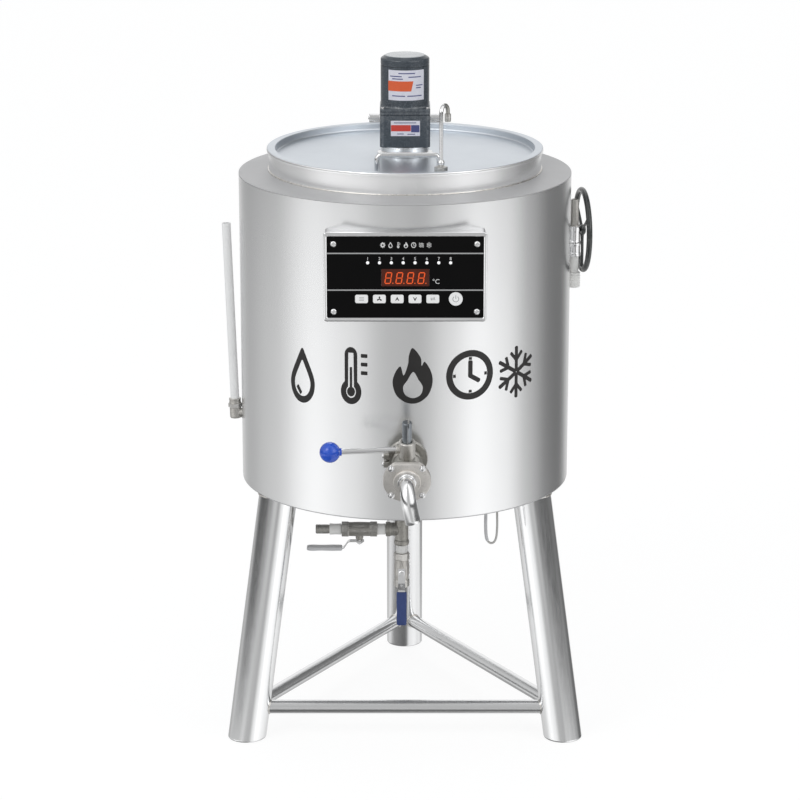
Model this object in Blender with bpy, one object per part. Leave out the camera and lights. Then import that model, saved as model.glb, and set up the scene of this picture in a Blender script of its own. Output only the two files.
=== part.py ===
"""Milk pasteurizer: a jacketed round tank on three splayed legs, with a geared stirrer on its lid.

Metres, +Z up. The front, with its control panel and outlet valve, faces -Y.
The origin lies on the floor, at the middle of the machine's outline seen from above.
"""

import math

import bmesh
import bpy
from mathutils import Matrix, Vector

# General clearances
GAP = 0.0003
OVERRUN = 0.004
WELD_DISTANCE = 0.000001
RUNNING_GAP = 0.0004

# Facets of round pieces, by size
SHELL_FACETS = 48
LEG_FACETS = 24
FITTING_FACETS = 16
ROD_FACETS = 10

# Tank shell, round the jacket and the pot
POT_RADIUS = 0.2455
WATER_GAP = 0.028
INSULATION_GAP = 0.0265
JACKET_RADIUS = POT_RADIUS + WATER_GAP
TANK_RADIUS = JACKET_RADIUS + INSULATION_GAP
TANK_BOTTOM_Z = 0.460
WALL_TOP_Z = 1.027
SHELL_SHEET = 0.0015
BOTTOM_SHEET = 0.0017
SHOULDER_RISE = 0.005
SHOULDER_EDGE = 0.0015

# Inner pot, with its open neck above the shoulder
POT_SHEET = 0.0015
NECK_HEIGHT = 0.0394
POT_TOP_Z = WALL_TOP_Z + NECK_HEIGHT
POT_LIFT = 0.13
POT_FLOOR_Z = TANK_BOTTOM_Z + POT_LIFT
POT_FLOOR_SLOPE = 0.035
POT_CORNER = 0.012
POT_CORNER_STEPS = 3

# Water jacket and insulation
JACKET_SHEET = 0.0015
JACKET_LIFT = 0.0385
JACKET_FLOOR_Z = TANK_BOTTOM_Z + JACKET_LIFT
JACKET_DROP = 0.0255
JACKET_TOP_Z = WALL_TOP_Z - JACKET_DROP
INSULATION_DROP = 0.0025
INSULATION_TOP_Z = WALL_TOP_Z - INSULATION_DROP

# Heating element in the jacket water
HEATER_INSET = 0.0855
HEATER_RADIUS = POT_RADIUS - HEATER_INSET
HEATER_ROD = 0.006
HEATER_LIFT = 0.0365
HEATER_Z = JACKET_FLOOR_Z + HEATER_LIFT
HEATER_END_LIFT = 0.018
HEATER_END_Z = TANK_BOTTOM_Z + HEATER_END_LIFT
HEATER_BEND = 0.018
HEATER_OPEN_ANGLE = math.radians(24)
HEATER_STEPS = 30

# Temperature probe, pointing into the pot from the rear left
PROBE_ANGLE = math.radians(150)
PROBE_LIFT = 0.028
PROBE_Z = POT_FLOOR_Z + PROBE_LIFT
PROBE_ROD = 0.004
PROBE_REACH = 0.0405
PROBE_TIP_RADIUS = POT_RADIUS - PROBE_REACH
PROBE_INSET = 0.01
PROBE_HEAD_RADIUS = TANK_RADIUS - PROBE_INSET
PROBE_NUT_RADIUS = 0.008
PROBE_NUT_LENGTH = 0.007

# Legs and the tie bars between them
LEG_RADIUS = 0.035
LEG_WALL = 0.002
LEG_FLOOR = 0.003
LEG_EDGE = 0.003
LEG_INSET = 0.0355
LEG_TOP_CIRCLE = TANK_RADIUS - LEG_INSET
LEG_SPLAY = 0.0712
LEG_FOOT_CIRCLE = LEG_TOP_CIRCLE + LEG_SPLAY
LEG_ANGLES = {"leg_front_left": -150, "leg_front_right": -30, "leg_rear": 90}
TIE_BARS = {
    "tie_bar_front": ("leg_front_left", "leg_front_right"),
    "tie_bar_left": ("leg_front_left", "leg_rear"),
    "tie_bar_right": ("leg_front_right", "leg_rear"),
}
TIE_BAR_RADIUS = 0.0125
TIE_BAR_Z = 0.0565

# Control box on the front wall
PANEL_DROP = 0.123
PANEL_Z = WALL_TOP_Z - PANEL_DROP
HOUSING_WIDTH = 0.276
HOUSING_HEIGHT = 0.153
HOUSING_CORNER = 0.006
HOUSING_SHEET = 0.002
HOUSING_PROUD = 0.014
HOUSING_FRONT = TANK_RADIUS + HOUSING_PROUD
HOUSING_DEPTH = 0.060
LEDGE_WIDTH = 0.010
LEDGE_THICKNESS = 0.0015
BEZEL_OVERHANG = 0.002
BEZEL_WIDTH = HOUSING_WIDTH + 2 * BEZEL_OVERHANG
BEZEL_HEIGHT = HOUSING_HEIGHT + 2 * BEZEL_OVERHANG
BEZEL_CORNER = 0.005
BEZEL_THICKNESS = 0.0033
BEZEL_SIDE = 0.0055
BEZEL_HEAD = 0.007
FACE_WIDTH = BEZEL_WIDTH - 2 * BEZEL_SIDE
FACE_HEIGHT = BEZEL_HEIGHT - 2 * BEZEL_HEAD
FACE_CORNER = 0.002
FACE_THICKNESS = 0.002
BOARD_SIDE = 0.0035
BOARD_HEAD = 0.002
BOARD_WIDTH = FACE_WIDTH - 2 * BOARD_SIDE
BOARD_HEIGHT = FACE_HEIGHT - 2 * BOARD_HEAD
BOARD_THICKNESS = 0.0016
BOARD_CORNER = 0.002
DISPLAY_WIDTH = 0.082
DISPLAY_HEIGHT = 0.0304
DISPLAY_Z = -0.001
DISPLAY_RECESS = 0.0007
CABLE_SLOT_WIDTH = 0.110
CABLE_SLOT_HEIGHT = 0.050
PANEL_CORNER_STEPS = 2

# Keys of the control panel: place along X and up from the panel's middle
KEY_Z = -0.0383
KEY_WIDTH = 0.0222
KEY_HEIGHT = 0.0150
KEY_CORNER = 0.003
ROUND_KEY_RADIUS = 0.012
KEY_PITCH = 0.0306
FIRST_KEY_X = -0.0750
ROUND_KEY_X = 0.0868
KEY_PROUD = 0.0012
KEY_FLANGE = 0.0011
KEY_FLANGE_THICKNESS = 0.0009
KEY_NAMES = ["key_mode", "key_stir", "key_up", "key_down", "key_shift"]

# Lid and its gasket
LID_LIFT = 0.0046
LID_TOP_Z = POT_TOP_Z + LID_LIFT
LID_SHEET = 0.002
LID_OVERHANG = 0.0035
LID_RIM_RADIUS = POT_RADIUS + LID_OVERHANG
LID_LIP_DROP = 0.0062
LID_LEDGE = 0.012
LID_PAN_RADIUS = POT_RADIUS - LID_LEDGE
LID_PAN_DEPTH = 0.013
LID_FILLET = 0.002
LID_SHAFT_HOLE = 0.0125
GASKET_WIDTH = 0.009

# Hinge at the back of the neck
HINGE_OFFSET = 0.0165
HINGE_Y = POT_RADIUS + HINGE_OFFSET
HINGE_LIFT = 0.004
HINGE_Z = LID_TOP_Z + HINGE_LIFT
HINGE_BARREL_RADIUS = 0.008
HINGE_PIN_RADIUS = 0.003
HINGE_HALF_WIDTH = 0.067
HINGE_LEAF_HALF_WIDTH = 0.0470
HINGE_LEAF_SHEET = 0.003
HINGE_LEAF_LENGTH = 0.036
HINGE_LEAF_FRONT_Y = HINGE_Y - HINGE_LEAF_LENGTH
HINGE_PLATE_BOTTOM_DROP = 0.035
HINGE_PLATE_BOTTOM_Z = HINGE_Z - HINGE_PLATE_BOTTOM_DROP
HINGE_PLATE_TOP_DROP = 0.014
HINGE_PLATE_TOP_Z = HINGE_Z - HINGE_PLATE_TOP_DROP
HINGE_PLATE_REACH = 0.034
HINGE_PLATE_FRONT_Y = HINGE_Y - HINGE_PLATE_REACH
HINGE_PLATE_INSET = 0.005
HINGE_PLATE_BACK_Y = HINGE_Y - HINGE_PLATE_INSET
HINGE_ARM_REACH = 0.0125
HINGE_ARM_FRONT_Y = HINGE_Y - HINGE_ARM_REACH
HINGE_PIN_PROUD = 0.0020

# Carrying handle and vent on the lid
HANDLE_X = 0.005
HANDLE_INSET = 0.0555
HANDLE_Y = HANDLE_INSET - POT_RADIUS
HANDLE_HALF_SPAN = 0.054
HANDLE_RISE = 0.034
HANDLE_ROD = 0.0045
HANDLE_BEND = 0.009
BEND_STEPS = 4
VENT_X = 0.0621
VENT_INSET = 0.0335
VENT_Y = VENT_INSET - POT_RADIUS
VENT_BASE_RADIUS = 0.0085
VENT_BASE_HEIGHT = 0.006
VENT_NUT_RADIUS = 0.0115
VENT_NUT_HEIGHT = 0.0115
VENT_BORE = 0.0022
VENT_TUBE_RADIUS = 0.0035
VENT_BALL_RADIUS = 0.0062
VENT_RISE = 0.1085
VENT_CROOK_RADIUS = 0.0125
VENT_CROOK_TURN = math.radians(62)
VENT_CROOK_STEPS = 8
VENT_TAIL = 0.018
VENT_TAIL_SLEEVE = 0.0056

# Stirrer drive on the lid's middle
PEDESTAL_FOOT_RADIUS = 0.050
PEDESTAL_FLANGE = 0.003
PEDESTAL_NECK_RADIUS = 0.042
PEDESTAL_TOP_RADIUS = 0.0445
PEDESTAL_HEIGHT = 0.018
GEARBOX_WIDTH = 0.090
GEARBOX_HEIGHT = 0.0645
GEARBOX_CORNER = 0.008
GEARBOX_CORNER_STEPS = 3
GEARBOX_BAND = 0.005
GEARBOX_GROOVE = 0.0015
GEARBOX_BORE_DEPTH = 0.028
MOTOR_RADIUS = 0.0437
MOTOR_HEIGHT = 0.0965
MOTOR_FLANGE = 0.005
MOTOR_SHOULDER = 0.005
MOTOR_DOME_RADIUS = 0.034
MOTOR_GROOVE_DROP = 0.014
MOTOR_GROOVE = 0.0015
MOTOR_FACETS = 32
SHAFT_RADIUS = 0.008
SHAFT_END_LIFT = 0.119
SHAFT_END_Z = POT_FLOOR_Z + SHAFT_END_LIFT
PADDLE_HUB_RADIUS = 0.014
PADDLE_HUB_HEIGHT = 0.030
PADDLE_LIFT = 0.114
PADDLE_BOTTOM_Z = POT_FLOOR_Z + PADDLE_LIFT
PADDLE_TIP_RADIUS = 0.070
PADDLE_BLADE_WIDTH = 0.034
PADDLE_BLADE_SHEET = 0.003
PADDLE_BLADES = 3
PADDLE_PITCH = math.radians(40)

# Outlet valve: its frame lies on the rear flange's front face, tipped towards the floor
OUTLET_X = 0.003
OUTLET_PROUD = 0.029
OUTLET_Y = -TANK_RADIUS - OUTLET_PROUD
OUTLET_DROP = 0.009
OUTLET_Z = POT_FLOOR_Z - OUTLET_DROP
OUTLET_TIP = math.radians(15)
OUTLET_PIPE_RADIUS = 0.019
OUTLET_PIPE_BORE = 0.016
OUTLET_PIPE_INSIDE = 0.0285
OUTLET_PIPE_REACH = -OUTLET_Y - POT_RADIUS + OUTLET_PIPE_INSIDE
REAR_FLANGE_RADIUS = 0.0362
FLANGE_THICKNESS = 0.008
VALVE_BODY_LENGTH = 0.064
VALVE_BODY_RADIUS = 0.027
VALVE_CAVITY_RADIUS = 0.0228
VALVE_NECK_RADIUS = 0.0135
VALVE_NECK_TOP = 0.0283
VALVE_BALL_RADIUS = 0.0205
VALVE_BALL_BORE = 0.014
STEM_RADIUS = 0.0085
STEM_TOP = 0.0955
STEM_SLOT_WIDTH = 0.0030
STEM_SLOT_DEPTH = 0.0080
HUB_RADIUS = 0.0145
HUB_TOP = 0.0577
LEVER_HEIGHT = 0.0420
LEVER_BOSS_RADIUS = 0.0078
LEVER_BOSS_REACH = 0.0195
LEVER_ROD = 0.0048
LEVER_YAW = math.radians(5)
GRIP_DISTANCE = 0.133
GRIP_RADIUS = 0.018
GRIP_NECK_RADIUS = 0.0068
GRIP_NECK_REACH = 0.0200
GRIP_SOCKET_DEPTH = 0.0135
GRIP_RINGS = 9
FRONT_FLANGE_RADIUS = 0.0415
FRONT_FLANGE_FLAT = 0.0352
FRONT_FLANGE_THICKNESS = 0.009
FRONT_BOSS_RADIUS = 0.024
FRONT_BOSS_HEIGHT = 0.004
FLANGE_BOLT_OFFSET = 0.0270
FLANGE_BOLT_RADIUS = 0.0042
FLANGE_BOLT_HEAD = 0.0055
SPOUT_RADIUS = 0.0135
SPOUT_BORE = 0.0115
SPOUT_LIFT = 0.004
SPOUT_COLLAR_RADIUS = 0.0166
SPOUT_COLLAR_LENGTH = 0.006
SPOUT_BEND = 0.034
SPOUT_BEND_STEPS = 8
SPOUT_TAIL = 0.030
SPOUT_DRIFT = 0.011

# Level tube of the jacket, on the left
LEVEL_ELBOW_PROUD = 0.012
LEVEL_ELBOW_X = -TANK_RADIUS - LEVEL_ELBOW_PROUD
LEVEL_ELBOW_LIFT = 0.0737
LEVEL_ELBOW_Z = JACKET_FLOOR_Z + LEVEL_ELBOW_LIFT
LEVEL_STUB_RADIUS = 0.0090
LEVEL_SOCKET_RADIUS = 0.0105
LEVEL_SOCKET_RISE = 0.0278
LEVEL_SOCKET_TOP_Z = LEVEL_ELBOW_Z + LEVEL_SOCKET_RISE
LEVEL_SOCKET_DEPTH = 0.012
LEVEL_TUBE_RADIUS = 0.008
LEVEL_TUBE_BORE = 0.0062
LEVEL_TUBE_DROP = 0.097
LEVEL_TUBE_TOP_Z = WALL_TOP_Z - LEVEL_TUBE_DROP
LEVEL_LEAN = math.radians(1.9)
LEVEL_WATERWAY = 0.005

# Water inlet valve, on the right and a little to the rear
INLET_ANGLE = math.radians(7)
INLET_PROUD = 0.0125
INLET_X = TANK_RADIUS + INLET_PROUD
INLET_BARREL_RADIUS = 0.0112
INLET_DROP = 0.1668
INLET_BOTTOM_Z = WALL_TOP_Z - INLET_DROP
INLET_LENGTH = 0.0566
INLET_TOP_Z = INLET_BOTTOM_Z + INLET_LENGTH
INLET_STUB_RISE = 0.0246
INLET_STUB_Z = INLET_BOTTOM_Z + INLET_STUB_RISE
INLET_STUB_RADIUS = 0.009
INLET_BORE = 0.005
RISER_RADIUS = 0.0072
RISER_RISE = 0.049
RISER_TOP_Z = INLET_TOP_Z + RISER_RISE
NIPPLE_NECK_RADIUS = 0.0080
NIPPLE_NECK_DROP = 0.0301
NIPPLE_NECK_BOTTOM_Z = INLET_BOTTOM_Z - NIPPLE_NECK_DROP
NIPPLE_THREAD_RADIUS = 0.0118
NIPPLE_THREAD_DROP = 0.0281
NIPPLE_BOTTOM_Z = NIPPLE_NECK_BOTTOM_Z - NIPPLE_THREAD_DROP
NIPPLE_RIBS = 3
NIPPLE_RIB_DEPTH = 0.0012
WHEEL_RISE = 0.024
WHEEL_Z = INLET_STUB_Z + WHEEL_RISE
WHEEL_PROUD = 0.0265
WHEEL_X = TANK_RADIUS + WHEEL_PROUD
WHEEL_RING_RADIUS = 0.0725
WHEEL_RIM_RADIUS = 0.0055
WHEEL_SPOKES = 3
WHEEL_SPOKE_RADIUS = 0.0028
WHEEL_HUB_RADIUS = 0.0095
WHEEL_HUB_PROUD = 0.0057
WHEEL_HUB_FRONT_X = WHEEL_X + WHEEL_HUB_PROUD
WHEEL_HUB_BACK = 0.0025
WHEEL_HUB_BACK_X = WHEEL_X - WHEEL_HUB_BACK
WHEEL_FACETS = 32
WHEEL_RIM_FACETS = 8
SPINDLE_RADIUS = 0.0035
SPINDLE_PROUD = 0.0005
SPINDLE_END_X = INLET_X + SPINDLE_PROUD

# Drain under the tank: a tee with two ball valves
DRAIN_X = -0.006
DRAIN_Y = -0.100
DRAIN_DROP = 0.081
DRAIN_Z = TANK_BOTTOM_Z - DRAIN_DROP
DRAIN_PIPE_RADIUS = 0.0105
TEE_RADIUS = 0.0135
TEE_REACH = 0.0290
DRAIN_NIPPLE_RADIUS = 0.0085
DRAIN_NIPPLE_LENGTH = 0.0240
DRAIN_BORE = 0.0060
SOCKET_DEPTH = 0.0085
SMALL_VALVE_LENGTH = 0.065
SMALL_VALVE_COLLAR = 0.0145
SMALL_VALVE_WAIST = 0.0138
SMALL_COLLAR_LENGTH = 0.0120
SMALL_CAVITY_RADIUS = 0.0118
SMALL_BALL_RADIUS = 0.0100
SMALL_NECK_RADIUS = 0.0070
SMALL_NECK_TOP = 0.0200
SMALL_STEM_RADIUS = 0.0030
SMALL_STEM_TOP = 0.0290
SMALL_NUT_RADIUS = 0.0058
SMALL_NUT_HEIGHT = 0.0030
SIDE_TAIL_LENGTH = 0.0475
SIDE_TAIL_RADIUS = 0.0088
STRIP_HEIGHT = 0.0215
STRIP_SHEET = 0.0020
STRIP_WIDTH = 0.0130
STRIP_HEAD_REACH = 0.0085
STRIP_BEND_START = 0.0200
STRIP_BEND_END = 0.0290
STRIP_GRIP_HEIGHT = 0.0350
STRIP_END = 0.0930
SLEEVE_START = 0.0320
SLEEVE_END = 0.0965
SLEEVE_WIDTH = 0.0185
SLEEVE_THICKNESS = 0.0072
SLEEVE_CORNER = 0.003

# Lead of the jacket sensor, which dips below the tank at the front right
LEAD_RADIUS = 0.002
LEAD_ROUTE = [
    (0.1452, -0.200, 0.4612),
    (0.1450, -0.200, 0.4450),
    (0.1447, -0.200, 0.4200),
    (0.1456, -0.200, 0.4010),
    (0.1480, -0.200, 0.3910),
    (0.1525, -0.200, 0.3860),
    (0.1575, -0.200, 0.3858),
    (0.1620, -0.200, 0.3905),
    (0.1645, -0.200, 0.4005),
    (0.1655, -0.200, 0.4200),
    (0.1650, -0.200, 0.4450),
    (0.1650, -0.200, 0.4612),
]
LEAD_STEPS = 3

FINISHES = {
    "brushed_steel": ((0.72, 0.72, 0.73), 0.32, 1.0),
    "lid_steel": ((0.70, 0.75, 0.80), 0.38, 1.0),
    "polished_steel": ((0.80, 0.80, 0.82), 0.12, 1.0),
    "cast_steel": ((0.62, 0.60, 0.56), 0.42, 1.0),
    "dark_paint": ((0.09, 0.11, 0.13), 0.45, 0.0),
    "black_panel": ((0.01, 0.01, 0.012), 0.30, 0.0),
    "display_glass": ((0.10, 0.03, 0.02), 0.20, 0.0),
    "key_plastic": ((0.85, 0.85, 0.85), 0.40, 0.0),
    "blue_plastic": ((0.03, 0.16, 0.70), 0.30, 0.0),
    "blue_vinyl": ((0.03, 0.06, 0.22), 0.55, 0.0),
    "grey_vinyl": ((0.55, 0.55, 0.52), 0.55, 0.0),
    "white_tube": ((0.88, 0.88, 0.87), 0.35, 0.0),
    "dark_wheel": ((0.07, 0.08, 0.08), 0.50, 0.0),
    "mineral_wool": ((0.80, 0.70, 0.45), 0.90, 0.0),
    "gasket_rubber": ((0.75, 0.75, 0.72), 0.60, 0.0),
    "cable_jacket": ((0.70, 0.70, 0.68), 0.55, 0.0),
    "copper": ((0.60, 0.42, 0.30), 0.40, 1.0),
}

for old in list(bpy.data.objects):
    bpy.data.objects.remove(old, do_unlink=True)


def finish_material(finish):
    """The material of a finish, made on its first use."""
    found = bpy.data.materials.get(finish)
    if found:
        return found
    colour, roughness, metallic = FINISHES[finish]
    made = bpy.data.materials.new(finish)
    made.use_nodes = True
    shader = made.node_tree.nodes["Principled BSDF"]
    shader.inputs["Base Color"].default_value = (*colour, 1.0)
    shader.inputs["Roughness"].default_value = roughness
    shader.inputs["Metallic"].default_value = metallic
    made.diffuse_color = (*colour, 1.0)
    return made


def empty(name, parent=None, place=(0, 0, 0), turn=(0, 0, 0)):
    made = bpy.data.objects.new(name, None)
    bpy.context.scene.collection.objects.link(made)
    made.parent = parent
    made.location = place
    made.rotation_euler = turn
    return made


def piece(name, mesh, finish, parent, place=(0, 0, 0), turn=(0, 0, 0)):
    """One sub-part: its mesh shaded smooth between sharp edges, on its parent."""
    made = bpy.data.objects.new(name, mesh)
    bpy.context.scene.collection.objects.link(made)
    mesh.materials.append(finish_material(finish))
    mesh.shade_smooth()
    mesh.set_sharp_from_angle(angle=math.radians(35))
    made.parent = parent
    made.location = place
    made.rotation_euler = turn
    return made


def helper(name, mesh, parent, place=(0, 0, 0), turn=(0, 0, 0)):
    """A cutter or an added form that only serves a Boolean."""
    made = bpy.data.objects.new(name, mesh)
    bpy.context.scene.collection.objects.link(made)
    made.parent = parent
    made.location = place
    made.rotation_euler = turn
    made.hide_render = True
    made.display_type = "WIRE"
    return made


def combine(target, other, operation):
    step = target.modifiers.new(other.name, "BOOLEAN")
    step.operation = operation
    step.solver = "EXACT"
    step.object = other


def cut(target, *cutters):
    for cutter in cutters:
        combine(target, cutter, "DIFFERENCE")


def weld(target, *forms):
    for form in forms:
        combine(target, form, "UNION")


def closed_mesh(name, form):
    """Turns a bmesh into a mesh with its doubles merged and its faces pointing out."""
    bmesh.ops.remove_doubles(form, verts=form.verts, dist=WELD_DISTANCE)
    bmesh.ops.recalc_face_normals(form, faces=form.faces)
    mesh = bpy.data.meshes.new(name)
    form.to_mesh(mesh)
    form.free()
    return mesh


def turned(name, profile, facets):
    """A profile of (radius, height) points spun about Z, closed on the axis or on itself."""
    form = bmesh.new()
    points = [form.verts.new((radius, 0, height)) for radius, height in profile]
    edges = [form.edges.new(pair) for pair in zip(points, points[1:])]
    if profile[0][0] > 0 or profile[-1][0] > 0:
        edges.append(form.edges.new((points[-1], points[0])))
    bmesh.ops.spin(
        form,
        geom=points + edges,
        cent=(0, 0, 0),
        axis=(0, 0, 1),
        angle=math.tau,
        steps=facets,
        use_merge=True,
    )
    return closed_mesh(name, form)


def solid_rod(name, radius, start, end, facets):
    return turned(name, [(0, start), (radius, start), (radius, end), (0, end)], facets)


def ring(name, outer, inner, start, end, facets):
    profile = [(inner, start), (outer, start), (outer, end), (inner, end)]
    return turned(name, profile, facets)


def lofted(name, rings, closed=False):
    """Faces between rings of points, with flat ends, or joined last to first."""
    form = bmesh.new()
    loops = [[form.verts.new(point) for point in points] for points in rings]
    pairs = list(zip(loops, loops[1:]))
    if closed:
        pairs.append((loops[-1], loops[0]))
    else:
        form.faces.new(loops[0])
        form.faces.new(loops[-1])
    for lower, upper in pairs:
        for index in range(len(lower)):
            after = (index + 1) % len(lower)
            form.faces.new((lower[index], lower[after], upper[after], upper[index]))
    return closed_mesh(name, form)


def circle(radius, facets, centre=Vector((0, 0, 0)), across=Vector((1, 0, 0)), up=Vector((0, 1, 0))):
    """Points round a centre, in the plane of two unit directions."""
    angles = [math.tau * step / facets for step in range(facets)]
    return [centre + radius * (math.cos(a) * across + math.sin(a) * up) for a in angles]


def swept_rings(path, radii, facets):
    """Rings of points along a path, carried without twist from one point to the next."""
    points = [Vector(point) for point in path]
    tangents = []
    for index in range(len(points)):
        before = points[max(index - 1, 0)]
        after = points[min(index + 1, len(points) - 1)]
        tangents.append((after - before).normalized())
    side = tangents[0].orthogonal().normalized()
    rings = []
    for point, tangent, radius in zip(points, tangents, radii):
        side = (side - side.dot(tangent) * tangent).normalized()
        rings.append(circle(radius, facets, point, side, tangent.cross(side)))
    return rings


def swept(name, path, radius, facets, bore=0):
    """A rod along a path, or a tube where it has a bore."""
    outer = swept_rings(path, [radius] * len(path), facets)
    if not bore:
        return lofted(name, outer)
    inner = swept_rings(path, [bore] * len(path), facets)
    return lofted(name, outer + inner[::-1], closed=True)


def arc(centre, first, second, radius, angle, steps):
    """Points of an arc that starts along the first direction and turns to the second."""
    made = []
    for step in range(steps + 1):
        turn = angle * step / steps
        offset = radius * (math.cos(turn) * Vector(first) + math.sin(turn) * Vector(second))
        made.append(Vector(centre) + offset)
    return made


def rounded_outline(width, height, corner, steps):
    """Corner arcs of a rectangle round the origin, in X and Y."""
    points = []
    corners = [(1, 1), (-1, 1), (-1, -1), (1, -1)]
    for index, (side, level) in enumerate(corners):
        centre_x = side * (width / 2 - corner)
        centre_y = level * (height / 2 - corner)
        for step in range(steps + 1):
            angle = math.pi / 2 * (index + step / steps)
            x = centre_x + corner * math.cos(angle)
            y = centre_y + corner * math.sin(angle)
            points.append((x, y))
    return points


def slab(name, outline, start, end):
    """An outline in X and Y raised from one height to another."""
    rings = [[Vector((x, y, level)) for x, y in outline] for level in (start, end)]
    return lofted(name, rings)


def block(name, low, high):
    """A box between two corners."""
    outline = [(low[0], low[1]), (high[0], low[1]), (high[0], high[1]), (low[0], high[1])]
    return slab(name, outline, low[2], high[2])


# The outlet's reach sets how far the tank's axis stands behind the middle of the footprint
SPOUT_TURN = math.pi / 2 - OUTLET_TIP
SPOUT_ROOT = -(VALVE_BODY_LENGTH + FRONT_FLANGE_THICKNESS + FRONT_BOSS_HEIGHT + 2 * GAP)
SPOUT_BEND_START = SPOUT_ROOT - SPOUT_COLLAR_LENGTH
SPOUT_END = Vector(
    (
        0,
        SPOUT_BEND_START - SPOUT_BEND * math.sin(SPOUT_TURN) - SPOUT_TAIL * math.cos(SPOUT_TURN),
        SPOUT_LIFT - SPOUT_BEND * (1 - math.cos(SPOUT_TURN)) - SPOUT_TAIL * math.sin(SPOUT_TURN),
    )
)
SPOUT_END_Y = OUTLET_Y + SPOUT_END.y * math.cos(OUTLET_TIP) - SPOUT_END.z * math.sin(OUTLET_TIP)
FRONT_REACH = SPOUT_RADIUS - SPOUT_END_Y
LEG_LEAN = math.atan((LEG_FOOT_CIRCLE - LEG_TOP_CIRCLE) / TANK_BOTTOM_Z)
REAR_REACH = LEG_FOOT_CIRCLE + LEG_RADIUS / math.cos(LEG_LEAN)

MACHINE = empty("machine", place=(0, (FRONT_REACH - REAR_REACH) / 2, 0))
HINGE_AXIS = empty("lid_hinge_axis", MACHINE, (0, HINGE_Y, HINGE_Z))
ON_LID = Vector((0, -HINGE_Y, -HINGE_Z))
STIRRER_AXIS = empty("stirrer_axis", HINGE_AXIS, ON_LID)
OUTLET = empty("outlet_frame", MACHINE, (OUTLET_X, OUTLET_Y, OUTLET_Z), (OUTLET_TIP, 0, 0))
LEVER_AXIS = empty("outlet_lever_axis", OUTLET, (0, -VALVE_BODY_LENGTH / 2, 0))
INLET_SIDE = empty("inlet_side", MACHINE, turn=(0, 0, INLET_ANGLE))
WHEEL_AXIS = empty("handwheel_axis", INLET_SIDE, (0, 0, WHEEL_Z))

FORWARD = (math.pi / 2, 0, 0)
BACKWARD = (-math.pi / 2, 0, 0)
RIGHTWARD = (0, math.pi / 2, 0)
LEFTWARD = (0, -math.pi / 2, 0)


def shell_holes(owner, clearance, names):
    """Cutters for the pipes that pass from the jacket through the insulation and the shell."""
    cutters = []
    if "outlet" in names:
        radius = OUTLET_PIPE_RADIUS + clearance
        mesh = solid_rod(owner + "_outlet_hole", radius, 0, OUTLET_PIPE_REACH + OVERRUN, FITTING_FACETS)
        cutters.append(helper(mesh.name, mesh, OUTLET, turn=BACKWARD))
    if "level" in names:
        radius = LEVEL_STUB_RADIUS + clearance
        mesh = solid_rod(owner + "_level_hole", radius, -JACKET_RADIUS / 2, TANK_RADIUS / 2, FITTING_FACETS)
        place = (LEVEL_ELBOW_X, 0, LEVEL_ELBOW_Z)
        cutters.append(helper(mesh.name, mesh, MACHINE, place, RIGHTWARD))
    if "inlet" in names:
        radius = INLET_STUB_RADIUS + clearance
        mesh = solid_rod(owner + "_inlet_hole", radius, -TANK_RADIUS / 2, JACKET_RADIUS / 2, FITTING_FACETS)
        cutters.append(helper(mesh.name, mesh, INLET_SIDE, (INLET_X, 0, INLET_STUB_Z), RIGHTWARD))
    if "probe" in names:
        radius = PROBE_ROD + clearance
        mesh = solid_rod(owner + "_probe_hole", radius, PROBE_TIP_RADIUS, PROBE_HEAD_RADIUS, ROD_FACETS)
        turn = (0, math.pi / 2, PROBE_ANGLE)
        cutters.append(helper(mesh.name, mesh, MACHINE, (0, 0, PROBE_Z), turn))
    if "drain" in names:
        radius = DRAIN_PIPE_RADIUS + clearance
        mesh = solid_rod(owner + "_drain_hole", radius, DRAIN_Z, HEATER_Z, FITTING_FACETS)
        cutters.append(helper(mesh.name, mesh, MACHINE, (DRAIN_X, DRAIN_Y, 0)))
    if "heater" in names:
        for index, side in enumerate((-1, 1)):
            radius = HEATER_ROD + clearance
            angle = side * HEATER_OPEN_ANGLE / 2 + math.pi / 2
            name = f"{owner}_heater_hole_{index}"
            mesh = solid_rod(name, radius, TANK_BOTTOM_Z + OVERRUN, HEATER_Z, FITTING_FACETS)
            place = (HEATER_RADIUS * math.cos(angle), HEATER_RADIUS * math.sin(angle), 0)
            cutters.append(helper(mesh.name, mesh, MACHINE, place))
    return cutters


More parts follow.
